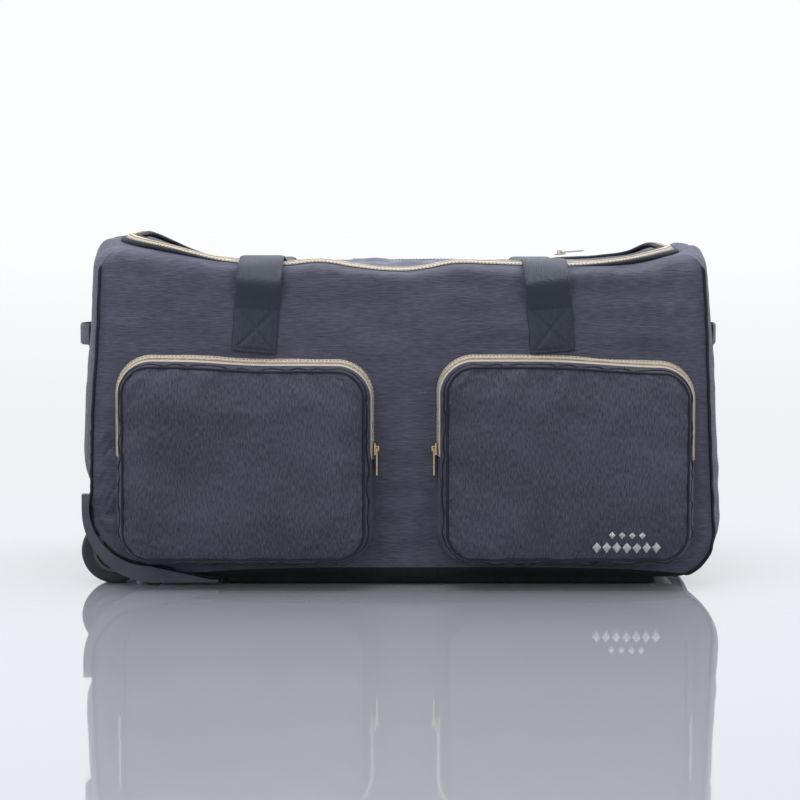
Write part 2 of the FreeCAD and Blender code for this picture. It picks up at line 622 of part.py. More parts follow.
def build_trolley():
    """Two telescoping tubes in the base, a recessed cup, a grip, its release button and the lock pins."""
    outer, inner, pins = [], [], []
    pin_x, stage_start = TUBE_START + 30, TUBE_START + 12
    pin_r = 2.8
    for y in (-TUBE_Y, TUBE_Y):
        body = rod(TUBE_START, y, TUBE_Z, OUTER_TUBE_R, CUP_FLOOR_X - TUBE_START, X_DIR)
        outer.append(body.cut(rod(TUBE_START, y, TUBE_Z, OUTER_TUBE_R - TUBE_WALL, FAR, X_DIR)))
        stage = rod(stage_start, y, TUBE_Z, INNER_TUBE_R, GRIP_X - stage_start, X_DIR)
        hollow = rod(stage_start, y, TUBE_Z, INNER_TUBE_R - TUBE_WALL, FAR, X_DIR)
        pin_hole = rod(pin_x, y, TUBE_Z, pin_r + 0.2, 20, Z_DIR)
        inner.append(stage.cut(hollow).cut(pin_hole))
        lock_hole = rod(pin_x + TROLLEY_TRAVEL, y, TUBE_Z, pin_r + 0.2, 20, Z_DIR)
        outer[-1] = outer[-1].cut(lock_hole)
        pins.append(rod(pin_x, y, TUBE_Z - 3, pin_r, 3 + INNER_TUBE_R + 0.3, Z_DIR))
    save("trolley_outer_tubes", *outer)
    save("trolley_inner_tubes", *inner)
    save("trolley_lock_pins", *pins)

    cup = cup_room().common(body_solid())
    cup = cup.cut(box(CUP_FLOOR_X, FAR, -95, 95, FLOOR_GAP + WALL, 56.0))
    for y in (-TUBE_Y, TUBE_Y):
        cup = cup.cut(rod(290, y, TUBE_Z, OUTER_TUBE_R, 20, X_DIR))
    save("trolley_cup", cup)

    bar = rod(GRIP_X, -92, GRIP_Z, GRIP_R, 184, Y_DIR)
    bar = bar.makeFillet(5.0, [e for e in bar.Edges if isinstance(e.Curve, Part.Circle)])
    for y in (-TUBE_Y, TUBE_Y):
        bar = bar.cut(rod(GRIP_X - 20, y, TUBE_Z, INNER_TUBE_R, 20, X_DIR))
    half_long, half_high = 20.0, 4.0
    slot = box(GRIP_X + 1, FAR, -half_long - 0.5, half_long + 0.5, GRIP_Z - half_high - 0.5,
               GRIP_Z + half_high + 0.5)
    save("trolley_grip", bar.cut(slot))
    button = box(GRIP_X + 6.5, GRIP_X + 13, -half_long, half_long, GRIP_Z - half_high, GRIP_Z + half_high)
    save("trolley_button", button.makeFillet(1.5, button.Edges))
    spring = [rod(GRIP_X + 1.0, y, GRIP_Z, 2.5, 5.2, X_DIR).cut(rod(GRIP_X, y, GRIP_Z, 1.7, 10, X_DIR))
              for y in (-12, 12)]
    save("trolley_button_springs", *spring)


build_shell()
build_piping()
build_lid()
build_main_slider()
build_pocket("wheel_side", pocket_centre(-1), 1)
build_pocket("grip_side", pocket_centre(1), -1)
build_carry_handle("front", False)
build_carry_handle("back", True)
build_grab_handle("wheel_end", True)
build_grab_handle("grip_end", False)
build_wheel("front", False)
build_wheel("back", True)
build_base()
build_foot()
build_trolley()
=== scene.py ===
"""A wheeled duffel bag lying on its base: the looks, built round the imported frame.

Lengths inside the builders are in millimetres; mesh_piece() turns them into the frame's metres.
"""

import json
import math

import bpy
import numpy as np
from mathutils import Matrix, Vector


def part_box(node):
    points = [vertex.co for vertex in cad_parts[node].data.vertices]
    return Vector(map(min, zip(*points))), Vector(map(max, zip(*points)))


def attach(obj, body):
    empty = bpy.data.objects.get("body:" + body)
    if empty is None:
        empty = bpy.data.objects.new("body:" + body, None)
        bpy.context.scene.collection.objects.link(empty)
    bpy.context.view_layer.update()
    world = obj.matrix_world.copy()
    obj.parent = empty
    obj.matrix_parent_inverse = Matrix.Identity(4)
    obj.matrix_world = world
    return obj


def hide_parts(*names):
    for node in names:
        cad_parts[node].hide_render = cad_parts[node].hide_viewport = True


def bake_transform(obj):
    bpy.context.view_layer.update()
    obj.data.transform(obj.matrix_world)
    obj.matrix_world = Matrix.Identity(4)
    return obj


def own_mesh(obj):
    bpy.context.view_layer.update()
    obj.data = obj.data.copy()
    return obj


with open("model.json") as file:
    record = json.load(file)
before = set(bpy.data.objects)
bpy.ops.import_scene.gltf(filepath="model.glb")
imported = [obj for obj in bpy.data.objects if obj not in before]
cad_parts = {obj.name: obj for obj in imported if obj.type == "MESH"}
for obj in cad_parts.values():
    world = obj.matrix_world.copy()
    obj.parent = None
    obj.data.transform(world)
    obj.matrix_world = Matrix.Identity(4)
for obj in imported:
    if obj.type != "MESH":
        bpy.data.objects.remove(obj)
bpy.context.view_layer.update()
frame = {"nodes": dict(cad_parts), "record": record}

MM = 0.001
RANDOM_SEED = 11


# ---- sizes read from the frame ----
def node_box(node):
    """A CAD node's lowest and highest corners in millimetres."""
    low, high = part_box(node)
    return np.array(low) / MM, np.array(high) / MM


HALF_LENGTH = node_box("front_panel")[1][0]
HALF_DEPTH = node_box("back_panel")[1][1]
BASE_Z = node_box("bottom_panel")[0][2]
FOOT_HIGH = node_box("trolley_foot")[1]
CUP_LOW, CUP_HIGH = node_box("trolley_cup")
HOUSING_LOW = node_box("back_wheel_housing")[0]
HOUSING_TOP = 83.0
STRAP_HALF = 25.0
RISER_LOW, RISER_HIGH = node_box("front_handle_risers")
STRAP_X = RISER_HIGH[0] - STRAP_HALF + 4.5

WALL_TOP = 340.0             # the sides end here and the fabric starts to roll over
BASE_ROUND = 12.0
SHADED_BASE_TOP = 21.0             # the near-black band round the foot of the sides, painted shade under the bag, reaches this high
CORNER = 50.0
WHEEL_CORNER = 66.0
WHEEL_CORNER_AT = (-283.0, 90.0)
RAMP_X = -213.0
SHOULDER = (341.0, 352.0)
CORD_R = 1.9
SEAM_TUCK = 4.5              # how far the fabric dips beside an upright seam
BOARD_GAP, LINING_GAP = 2.6, 3.0   # how far the boards and the lining lie inside the fabric
LID_THICK, HINGE_THICK, POCKET_THICK, BOARD_THICK = 2.4, 1.8, 1.4, 0.3
UP = np.array([0, 0, 1.0])

RIM_HALF = 312.0             # the main zip's middle line, seen from above
RIM_FRONT_Y, RIM_BACK_Y = -141.0, 125.0
RIM_ROUND = 80.0
HINGE_HALF = 150.0
# heights of the zip's front and back runs and of the front face's upper edge, (x, z)
RIM_FRONT = [(-335, 401), (-307, 393), (-262, 383), (-200, 368.5), (-160, 364.5), (-130, 363.6),
             (-90, 367), (-48, 361), (-15, 357.6), (12, 357.6), (30, 360), (60, 365.5), (100, 365),
             (139, 363.6), (190, 363), (257, 369), (300, 378), (335, 384)]
RIM_BACK = [(-335, 404), (-310, 397), (-285, 386), (-262, 376), (-240, 369), (-205, 364), (-163, 361),
            (-110, 361), (-40, 361.8), (60, 361.8), (140, 361), (199, 365), (250, 368), (288, 374),
            (308, 383), (335, 386)]
FRONT_EDGE = [(-340, 383), (-316, 381), (-284, 376), (-248, 371), (-200, 364), (-150, 358), (-90, 360),
              (-48, 356), (0, 352.5), (45, 357), (90, 358), (190, 356), (285, 361), (316, 370), (340, 380)]


# ---- small numeric helpers ----
def smooth(a, b, x):
    """0 below a, 1 above b, and a smooth step between."""
    t = np.clip((np.asarray(x, float) - a) / (b - a), 0, 1)
    return t * t * (3 - 2 * t)


def curve_through(points, x):
    """A smooth curve through points sorted by x."""
    xs, ys = np.array(points, float).T
    x = np.clip(np.asarray(x, float), xs[0], xs[-1])
    slope = np.gradient(ys, xs)
    i = np.clip(np.searchsorted(xs, x) - 1, 0, len(xs) - 2)
    h = xs[i + 1] - xs[i]
    t = (x - xs[i]) / h
    return (ys[i] * (1 + 2 * t) * (1 - t) ** 2 + ys[i + 1] * t * t * (3 - 2 * t)
            + h * t * (1 - t) * (slope[i] * (1 - t) - slope[i + 1] * t))


def unit(v):
    """Vectors made one long."""
    v = np.asarray(v, float)
    return v / np.maximum(np.linalg.norm(v, axis=-1, keepdims=True), 1e-9)


def lengths_along(path):
    """How far each of a polyline's points is from its start, measured along it."""
    steps = np.linalg.norm(np.diff(np.asarray(path, float), axis=0), axis=1)
    return np.concatenate([[0], np.cumsum(steps)])


def values_along(path, values, share):
    """Values that go with a polyline's points, or one for all, read at shares 0 to 1 of its length."""
    at = lengths_along(path)
    columns = np.broadcast_to(values, (len(at), np.shape(values)[-1])).T
    return np.stack([np.interp(share, at / at[-1], column) for column in columns], -1)


def path_along(points, share):
    """Points at shares 0 to 1 of a polyline's length."""
    return values_along(points, points, share)


def respaced(points, count):
    """A polyline with a number of points at even distances."""
    return path_along(points, np.linspace(0, 1, count))


def relaxed(points, times):
    """A polyline whose inner points have been averaged with their neighbours."""
    points = points.copy()
    for _ in range(times):
        points[1:-1] = (points[:-2] + 2 * points[1:-1] + points[2:]) / 4
    return points


def joined(*values):
    """Arrays and numbers side by side, as the last axis of one array."""
    return np.stack(np.broadcast_arrays(*values), -1)


def to_the_right(vectors):
    """Plane vectors turned a quarter turn to the right."""
    return joined(vectors[:, 1], -vectors[:, 0])


def path_length(points):
    return lengths_along(points)[-1]


def arc_points(centre, radius, start, end, count=24):
    """Points on a plane arc between two angles in degrees."""
    a = np.radians(np.linspace(start, end, count))
    return [(centre[0] + radius * math.cos(t), centre[1] + radius * math.sin(t)) for t in a]


def ripples(seed, wave_u, wave_v, u, v, count=26):
    """A repeatable sum of waves at (u, v), used as wrinkles: rough in one direction, long in the other."""
    rng = np.random.default_rng(RANDOM_SEED + seed)
    fu, fv = rng.normal(0, 1, count) / wave_u, rng.normal(0, 1, count) / wave_v
    phase, size = rng.uniform(0, 2 * math.pi, count), rng.uniform(0.4, 1.0, count)
    total = sum(s * np.sin(2 * math.pi * (a * u + b * v) + p) for a, b, p, s in zip(fu, fv, phase, size))
    return total / math.sqrt(np.sum(size ** 2) / 2)


# ---- mesh helpers ----
def set_up(thing, **settings):
    """The same thing with its settings made."""
    for key, value in settings.items():
        setattr(thing, key, value)
    return thing


def placed(name, data, **settings):
    """A new object in the scene."""
    thing = bpy.data.objects.new(name, data)
    bpy.context.scene.collection.objects.link(thing)
    return set_up(thing, **settings)


def mesh_piece(name, points, faces, material, body=None, uv=None, slot="body_fabric"):
    """A smooth mesh piece from points in millimetres, as a list or a grid. uv has one pair per point."""
    mesh = bpy.data.meshes.new(name)
    mesh.from_pydata((np.asarray(points, float).reshape(-1, 3) * MM).tolist(), [], faces)
    mesh.polygons.foreach_set("use_smooth", [True] * len(mesh.polygons))
    if uv is not None:
        corners = np.zeros(len(mesh.loops), int)
        mesh.loops.foreach_get("vertex_index", corners)
        layer = mesh.uv_layers.new(name="UVMap")
        layer.data.foreach_set("uv", (uv.reshape(-1, 2)[corners] * MM).ravel())
    mesh.materials.append(material)
    mesh.validate()
    piece = placed(name, mesh)
    if body:
        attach(piece, body)
    return piece


def closed_piece(*details):
    """A mesh_piece of closed surfaces, with its faces turned outwards."""
    piece = mesh_piece(*details)
    if sum(p.center.dot(p.normal) * p.area for p in piece.data.polygons) < 0:
        piece.data.flip_normals()
    return piece


def grid_faces(rows, columns, wrap=False):
    """Quads of a rows by columns grid of points, joined round if wrap is true."""
    faces = []
    for j in range(0, (rows - 1) * columns, columns):
        for i in range(columns if wrap else columns - 1):
            k = (i + 1) % columns
            faces.append((j + i, j + k, j + columns + k, j + columns + i))
    return faces


def capped_faces(rows, sides):
    """Quads of a grid joined round, and one face over each of its ends."""
    last = (rows - 1) * sides
    return [*grid_faces(rows, sides, wrap=True), tuple(range(sides))[::-1], tuple(range(last, last + sides))]


def shifted(faces, *firsts):
    """The same faces for copies of their points that start at other numbers."""
    return [tuple(first + v for v in face) for first in firsts for face in faces]


def grid_piece(name, grid, material, body=None, uv=None, slot="body_fabric", flip=False, keep=None):
    """A piece from a rows x columns x 3 grid. keep(centre) says which faces stay."""
    rows, columns = grid.shape[:2]
    points = grid.reshape(-1, 3)
    faces = grid_faces(rows, columns)
    if keep is not None:
        centres = points[np.array(faces)].mean(1)
        faces = [f for f, stay in zip(faces, keep(centres)) if stay]
    if flip:
        faces = [f[::-1] for f in faces]
    used = sorted({v for f in faces for v in f})
    place = {v: n for n, v in enumerate(used)}
    faces = [tuple(place[v] for v in f) for f in faces]
    uv = None if uv is None else uv.reshape(-1, 2)[used]
    return mesh_piece(name, points[used], faces, material, body, uv, slot)


def thicken(piece, thickness):
    """Gives a sheet its fabric's thickness, with the lining inside if it has one."""
    set_up(piece.modifiers.new("thickness", "SOLIDIFY"), thickness=thickness * MM, offset=-1,
           material_offset=len(piece.data.materials) - 1)


def frames_along(path, closed):
    """Side and up vectors along a path, turned as little as possible."""
    if closed:
        tangent = unit(np.roll(path, -1, 0) - np.roll(path, 1, 0))
    else:
        tangent = unit(np.gradient(path, axis=0))
    up = np.zeros_like(path)
    last = UP if abs(tangent[0, 2]) < 0.9 else np.array([0, 1.0, 0])
    for i, t in enumerate(tangent):
        last = up[i] = unit(last - t * last.dot(t))
    return np.cross(tangent, up), up


def tube(name, path, radius, body=None, sides=10, closed=False, material=None, slot="piping"):
    """A round cord along a path, with domed ends if it is open."""
    path = np.asarray(path, float)
    side, up = frames_along(path, closed)
    angle = np.linspace(0, 2 * math.pi, sides, endpoint=False)
    ring = np.cos(angle)[:, None] * side[:, None] + np.sin(angle)[:, None] * up[:, None]
    radii = np.full(len(path), radius)
    if not closed:
        radii[[0, -1]] *= 0.35
    grid = path[:, None] + ring * radii[:, None, None]
    uv = joined(lengths_along(path)[:, None], angle * radii.mean())
    faces = capped_faces(len(path), sides)
    if closed:
        last = (len(path) - 1) * sides
        faces[-2:] = [(last + i, last + (i + 1) % sides, (i + 1) % sides, i) for i in range(sides)]
    return closed_piece(name, grid, faces, material or PIPING, body, uv, slot)


def ribbon(name, path, across, out, half, body=None, columns=20, dent=None):
    """Flat webbing along a path: across is its width direction and out its upper side.

    dent(width, length) says how far stitching pulls the upper side down.
    """
    across, out = (np.broadcast_to(a, path.shape)[:, None] for a in (across, out))
    s = np.linspace(-1, 1, columns)
    edge = 1 - 0.75 * np.abs(s) ** 12
    length = lengths_along(path)[:, None]
    thick = WEB * edge[None] - (dent(s[None] * half, length) if dent else 0.0)
    low = path[:, None] + across * (s * half)[:, None]
    high = low + out * thick[..., None]
    low = low + out * (WEB * 0.3 * (1 - edge))[:, None]
    section = np.concatenate([low, high[:, ::-1]], 1)
    uv = joined(np.concatenate([s * half, s[::-1] * half]), length)
    count = 2 * columns
    faces = grid_faces(len(path), count, wrap=True)
    end = [(i, i + 1, count - 2 - i, count - 1 - i) for i in range(columns - 1)]
    faces += [face[::-1] for face in end] + shifted(end, (len(path) - 1) * count)
    return closed_piece(name, section, faces, WEBBING, body, uv, "webbing")


def stitch_run(path, out, pitch=4.2, length=3.0, radius=0.42):
    """Points and faces of one row of stitches lying on a path."""
    total = path_length(path)
    count = max(2, int(total / pitch))
    middle = (np.arange(count) + 0.5) / count
    half = 0.5 * length / total
    a, b, c = (path_along(path, np.clip(middle + k * half, 0, 1)) for k in (-1, 0, 1))
    up = unit(values_along(path, out, middle))
    side = unit(np.cross(c - a, up)) * radius
    lift = up * radius
    points = np.stack([a - lift * 0.6, b + side, b + lift * 1.5, b - side, c - lift * 0.6], 1)
    one = [(0, 1, 2), (0, 2, 3), (4, 2, 1), (4, 3, 2), (0, 3, 1), (4, 1, 3)]
    return points.reshape(-1, 3), shifted(one, *range(0, 5 * count, 5))


def stitch_piece(name, runs, body=None):
    """Several rows of stitches as one piece. runs holds (path, upper side) pairs."""
    points, faces = [], []
    for path, out in runs:
        more, one = stitch_run(path, out)
        faces += shifted(one, len(points))
        points += list(more)
    return mesh_piece(name, points, faces, THREAD, body, None, "piping")


# ---- materials ----
def add_node(tree, kind, output, inputs, **settings):
    """An output of a new node with its settings, constant inputs and links."""
    node = set_up(tree.nodes.new(kind), **settings)
    for key, value in inputs.items():
        if isinstance(value, bpy.types.NodeSocket):
            tree.links.new(value, node.inputs[key])
        else:
            node.inputs[key].default_value = value
    return node.outputs[output]


class Shader:
    """A node material under construction."""

    def __init__(self, name, **values):
        self.material = bpy.data.materials.new(name)
        self.material.use_nodes = True
        self.tree = self.material.node_tree
        self.surface = self.tree.nodes["Principled BSDF"]
        for socket, value in values.items():
            self.surface.inputs[socket.replace("_", " ")].default_value = value

    def add(self, *details, **settings):
        return add_node(self.tree, *details, **settings)

    def link(self, value, socket):
        self.tree.links.new(value, self.surface.inputs[socket])

    def texture(self, kind, place, scale, inputs, **settings):
        """A texture in one of the object's coordinates, with one scale or one for each axis."""
        source = self.add("ShaderNodeTexCoord", place, {})
        scale = scale if isinstance(scale, tuple) else (scale,) * 3
        vector = self.add("ShaderNodeMapping", "Vector", {"Vector": source, "Scale": scale})
        return self.add(kind, "Fac", {"Vector": vector, "Scale": 1.0, **inputs}, **settings)

    def noise(self, place, scale, detail=3.0, roughness=0.55):
        return self.texture("ShaderNodeTexNoise", place, scale, {"Detail": detail, "Roughness": roughness})

    def waves(self, scale, direction, distortion=0.0):
        return self.texture("ShaderNodeTexWave", "UV", scale, {"Distortion": distortion},
                            bands_direction=direction)

    def maths(self, operation, a, b):
        return self.add("ShaderNodeMath", 0, {0: a, 1: b}, operation=operation)

    def mixed(self, a, b, share):
        """A share of one value with the rest of another."""
        return self.maths("ADD", self.maths("MULTIPLY", a, share), self.maths("MULTIPLY", b, 1 - share))

    def colours(self, factor, colour, low, high):
        """The base colour, from low to high times as bright."""
        ramp = self.add("ShaderNodeValToRGB", "Color", {"Fac": factor})
        for mark, place, times in zip(ramp.node.color_ramp.elements, (0.36, 0.64), (low, high)):
            mark.position = place
            mark.color = (*(min(1.0, c * times) for c in colour), 1)
        self.link(ramp, "Base Color")

    def roughness(self, value, low, high, start=0.0, end=1.0):
        """Roughness from low to high as a value goes from start to end."""
        inputs = {"Value": value, "From Min": start, "From Max": end, "To Min": low, "To Max": high}
        self.link(self.add("ShaderNodeMapRange", "Result", inputs), "Roughness")

    def bumps(self, *layers):
        """A stack of bump layers, each (height, depth in metres, strength)."""
        inputs = {}
        for height, depth, strength in layers:
            inputs |= {"Height": height, "Distance": depth, "Strength": strength}
            inputs["Normal"] = self.add("ShaderNodeBump", "Normal", inputs)
        self.link(inputs["Normal"], "Normal")


def woven_fabric(name, colour, slub_scale, crease_scale, sheen, depth=1.0, contrast=(0.72, 1.32), gloss=0.0):
    """Crinkled nylon: slubs along one direction, a fine weave and a bluish sheen."""
    s = Shader(name, Sheen_Weight=sheen, Sheen_Roughness=0.45, Sheen_Tint=(0.72, 0.8, 1.0, 1.0),
               Specular_IOR_Level=0.42)
    slub = s.noise("UV", slub_scale, 4.0, 0.62)
    crease = s.noise("UV", crease_scale)
    cloud = s.noise("UV", 9.0, 2.0)
    weave = s.maths("MULTIPLY", s.waves(900.0, "X"), s.waves(900.0, "Y"))
    s.colours(s.mixed(slub, cloud, 0.75), colour, *contrast)
    s.roughness(slub, 0.66 - gloss, 0.46 - gloss, 0.3, 0.7)
    s.bumps((crease, 0.0022 * depth, 0.55), (slub, 0.0011 * depth, 0.8), (weave, 0.00012, 0.5))
    return s.material


def webbing_material(name, colour):
    """Ribbed nylon webbing with a herringbone across its width."""
    s = Shader(name, Sheen_Weight=0.25, Sheen_Roughness=0.4, Sheen_Tint=(0.75, 0.82, 1.0, 1.0),
               Specular_IOR_Level=0.6)
    ribs = s.waves(260.0, "Y", 0.6)
    lanes = s.waves(110.0, "X")
    fuzz = s.noise("UV", (700.0, 1400.0, 900.0))
    s.colours(s.mixed(ribs, fuzz, 0.5), colour, 0.7, 1.4)
    s.roughness(fuzz, 0.3, 0.5)
    s.bumps((lanes, 0.0003, 0.45), (ribs, 0.00035, 0.8), (fuzz, 0.0001, 0.5))
    return s.material


def zip_tape(name, colour):
    """Satin zip tape with a fine herringbone."""
    s = Shader(name, Sheen_Weight=0.35, Sheen_Roughness=0.3, Roughness=0.42)
    herringbone = s.waves((900.0, 700.0, 900.0), "DIAGONAL")
    fuzz = s.noise("UV", (350.0, 900.0, 900.0))
    s.colours(s.mixed(herringbone, fuzz, 0.35), colour, 0.86, 1.12)
    s.bumps((herringbone, 0.0002, 0.6), (fuzz, 0.0001, 0.4))
    return s.material


def moulded(name, colour, roughness, grain=1500.0, wear=1.35):
    """Moulded plastic or rubber with a fine grain and rubbed patches."""
    s = Shader(name)
    fine = s.noise("Object", grain, 2.0)
    rub = s.noise("Object", 28.0, 5.0, 0.65)
    scuffs = s.noise("Object", (60.0, 700.0, 60.0), 4.0)
    s.colours(s.mixed(rub, scuffs, 0.7), colour, 0.82, wear)
    s.roughness(scuffs, roughness - 0.08, roughness + 0.14, 0.35, 0.7)
    s.bumps((fine, 0.00018, 0.5), (scuffs, 0.0001, 0.3))
    return s.material


def metal(name, colour, roughness, lines=(40.0, 2500.0, 2500.0)):
    """Metal with fine drawn lines and small stains."""
    s = Shader(name, Metallic=1.0)
    drawn = s.noise("Object", lines)
    stain = s.noise("Object", 90.0, 4.0)
    s.colours(stain, colour, 0.86, 1.08)
    s.roughness(drawn, roughness * 0.75, roughness * 1.35)
    s.bumps((drawn, 0.00005, 0.35))
    return s.material


def stiff_board(name, colour):
    """Grained fibre board."""
    s = Shader(name)
    grain = s.noise("Object", 600.0, 5.0)
    flecks = s.noise("Object", (120.0, 900.0, 120.0))
    s.colours(flecks, colour, 0.7, 1.3)
    s.roughness(grain, 0.6, 0.85)
    s.bumps((grain, 0.0003, 0.6))
    return s.material


BODY = woven_fabric("body_nylon", (0.071, 0.071, 0.107), (75.0, 620.0, 100.0), (28.0, 120.0, 50.0), 0.16)
POCKET = woven_fabric("pocket_nylon", (0.048, 0.047, 0.072), (640.0, 150.0, 100.0), (110.0, 40.0, 50.0), 0.13,
                      0.9, (0.52, 1.6))
# the body's nylon with more sheen and less roughness, and a base colour painted a little lighter: partly
# painted light for the pale reflection the lid shows at grazing angles
LID_NYLON_PAINTED_LIGHT = woven_fabric("lid_nylon_painted_light", (0.08, 0.08, 0.115), (75.0, 420.0, 100.0), (28.0, 60.0, 50.0), 0.6, 0.3,
                   gloss=0.2)
# near-black nylon: painted shade under the bag, on the base and along the foot of the sides
BASE_PAINTED_SHADE = woven_fabric("base_nylon_painted_shade", (0.0025, 0.0025, 0.004), 300.0, 40.0, 0.03, 0.5)
LINING = woven_fabric("lining_nylon", (0.05, 0.051, 0.06), 300.0, 30.0, 0.15, 0.6)
WEBBING = webbing_material("nylon_webbing", (0.021, 0.027, 0.046))
PIPING = woven_fabric("piping_cover", (0.010, 0.010, 0.0175), (500.0, 300.0, 300.0), 80.0, 0.1, 0.4)
WHITE_THREAD = moulded("white_thread", (1.0, 1.0, 1.0), 0.5, 4000.0, 1.0)
THREAD = moulded("sewing_thread", (0.075, 0.08, 0.105), 0.55, 4000.0)
TAPE = zip_tape("gold_zip_tape", (0.64, 0.55, 0.44))
GOLD = metal("gold_metal", (0.82, 0.62, 0.36), 0.26)
COIL = metal("gold_coil", (0.8, 0.69, 0.54), 0.4)
PLASTIC = moulded("black_plastic", (0.066, 0.068, 0.09), 0.42)
# a near-black copy of the plastic: painted shade on the skid rails under the bag
RAIL_PAINTED_SHADE = moulded("rail_plastic_painted_shade", (0.0025, 0.0025, 0.0035), 0.6)
RUBBER = moulded("wheel_rubber", (0.03, 0.031, 0.038), 0.55, 900.0, 1.5)
HUB = moulded("hub_plastic", (0.09, 0.09, 0.1), 0.4)
STEEL = metal("steel", (0.6, 0.6, 0.62), 0.3)
TUBE = metal("tube_metal", (0.5, 0.51, 0.53), 0.28, (30.0, 2600.0, 2600.0))
BOARD = stiff_board("fibre_board", (0.03, 0.03, 0.034))

SLOT_MATERIALS = {"body_fabric": BODY, "pocket_fabric": POCKET, "zip_gold": TAPE, "webbing": WEBBING,
                  "piping": PIPING, "gold_metal": GOLD, "black_plastic": PLASTIC, "wheel_rubber": RUBBER,
                  "hub_plastic": HUB, "steel": STEEL, "tube_metal": TUBE, "board": BOARD}


# ---- the main zip's rim ----
def ends_share(x):
    """How much a place belongs to the raised ends of the top: 0 in the middle, 1 at the ends."""
    return smooth(185, 285, np.abs(x))


def rim_height(x, y):
    """Height of the zip's middle line, and of the taut top between its front and back runs."""
    share = smooth(-110, 90, y)
    return curve_through(RIM_FRONT, x) * (1 - share) + curve_through(RIM_BACK, x) * share


def rim_outline():
    """The rim's middle line from above and its outward directions, from mid-front towards +X."""
    x, back, front = RIM_HALF - RIM_ROUND, RIM_BACK_Y - RIM_ROUND, RIM_FRONT_Y + RIM_ROUND
    points = [(0, RIM_FRONT_Y)]
    for centre, start in (((x, front), -90), ((x, back), 0), ((-x, back), 90), ((-x, front), 180)):
        points += arc_points(centre, RIM_ROUND, start, start + 90)
    plan = path_along([*points, points[0]], np.linspace(0, 1, 900, endpoint=False))
    return plan, to_the_right(unit(np.roll(plan, -1, 0) - np.roll(plan, 1, 0)))


RIM_PLAN, RIM_OUT = rim_outline()


def rim_section(plan, out, section):
    """Points of a zip section swept along the rim.

    section holds (outward, height in the middle, height at the ends) for each point of the section.
    """
    x, y = plan.T
    z, share = rim_height(x, y), ends_share(x)
    rows = [joined(*(plan + out * outward).T, z + flat * (1 - share) + steep * share)
            for outward, flat, steep in section]
    return np.array(rows)


# where the fabric meets the zip: (outward, height in the middle, height at the ends)
BODY_EDGE = (9.5, -3.2, -7.0)
LID_EDGE = (-9.0, -1.6, -1.4)


# ---- rectangle-to-rim mapping shared by the body and the lid ----
ALONG, DEEP = 168, 72        # faces along the front and along an end


def eased(count, crowd):
    """Numbers from -1 to 1, crowded towards both ends."""
    s = np.linspace(-1, 1, count + 1)
    return (1 - crowd) * s + crowd * np.sin(s * math.pi / 2)


def rectangle(along, deep):
    """Rectangle coordinates (-1 to 1) round a rectangle, from its lowest corner towards +X."""
    low, right = joined(along[:-1], -1.0), joined(1.0, deep[:-1])
    return np.concatenate([low, right, -low, -right])


EDGE = rectangle(eased(ALONG, 0.6), eased(DEEP, 0.5))   # front, grip end, back, wheel end
AROUND = len(EDGE)
COLUMNS = {"front": (0, ALONG), "grip_end": (ALONG, ALONG + DEEP),
           "back": (ALONG + DEEP, 2 * ALONG + DEEP), "wheel_end": (2 * ALONG + DEEP, AROUND)}


def rounded(edge, half, straight, radius):
    """Places and outward directions on a rounded outline, for rectangle coordinates.

    half is half the rectangle's size, and straight how far the outline's straight lines reach.
    """
    place = edge * half
    past = (np.abs(place) - straight) / (half - straight)
    along_x = np.abs(edge[:, 1]) == 1
    over = np.where(along_x, *past.T)
    turn = np.radians(45 * np.maximum(0, over))
    both = joined(np.cos(turn), np.sin(turn))
    out = np.copysign(np.where(along_x[:, None], both[:, ::-1], both), edge)
    bent = np.copysign(straight, edge) + out * radius
    return np.where((over <= 0)[:, None] & (np.abs(edge) < 1), place, bent), out


RIM_STRAIGHT = joined(RIM_HALF, np.where(EDGE[:, 1] > 0, RIM_BACK_Y, -RIM_FRONT_Y)) - RIM_ROUND
EDGE_PLAN, EDGE_OUT = rounded(EDGE, np.array([HALF_LENGTH - 8, HALF_DEPTH]), RIM_STRAIGHT, RIM_ROUND)


# ---- the body ----
def end_paths(share):
    """The wheel end's and the grip end's outlines in XZ, with outward normals, at shares of their length."""
    wheel = [(RAMP_X, BASE_Z), *arc_points(WHEEL_CORNER_AT, WHEEL_CORNER, 270, 180, 60),
             (-SHOULDER[0], SHOULDER[1])]
    grip = [*arc_points((HALF_LENGTH - CORNER, BASE_Z + CORNER), CORNER, -90, 0, 60), SHOULDER]
    result = []
    for points, sign in ((wheel, -1), (grip, 1)):
        last = np.subtract(points[-1], points[-2])
        above = np.linalg.norm(last) * (SHOULDER[1] - WALL_TOP) / last[1]
        used = 1 - above / path_length(points)
        near, far = (path_along(points, np.clip(share + step, 0, 1) * used) for step in (0.004, -0.004))
        result.append((path_along(points, share * used), to_the_right(unit(near - far)) * sign))
    return result


def wheel_end_fabric(height):
    """How far the wheel end's seams lie inside the frame's outline, and how far its fabric swells out."""
    swell = (1 + 15.5 * smooth(88, 150, height)) * (1 - 0.1 * smooth(250, 345, height))
    return (0.5 + 4.5 * smooth(180, 310, height))[:, None], swell[:, None]


def grip_end_fabric(height):
    """The same for the grip end, with a column for every place round the bag."""
    near_seam = smooth(0.6, 0.8, np.abs(EDGE[:, 1]))
    high, low = (1.5 + 13.5 * smooth(a, b, height)[:, None] for a, b in ((55, 130), (20, 75)))
    less = 1 - 0.3 * smooth(250, 345, height)[:, None]
    return 1.0, (high * (1 - near_seam) + low * near_seam) * less


WALL_ROWS, ROLL_ROWS = 84, 22


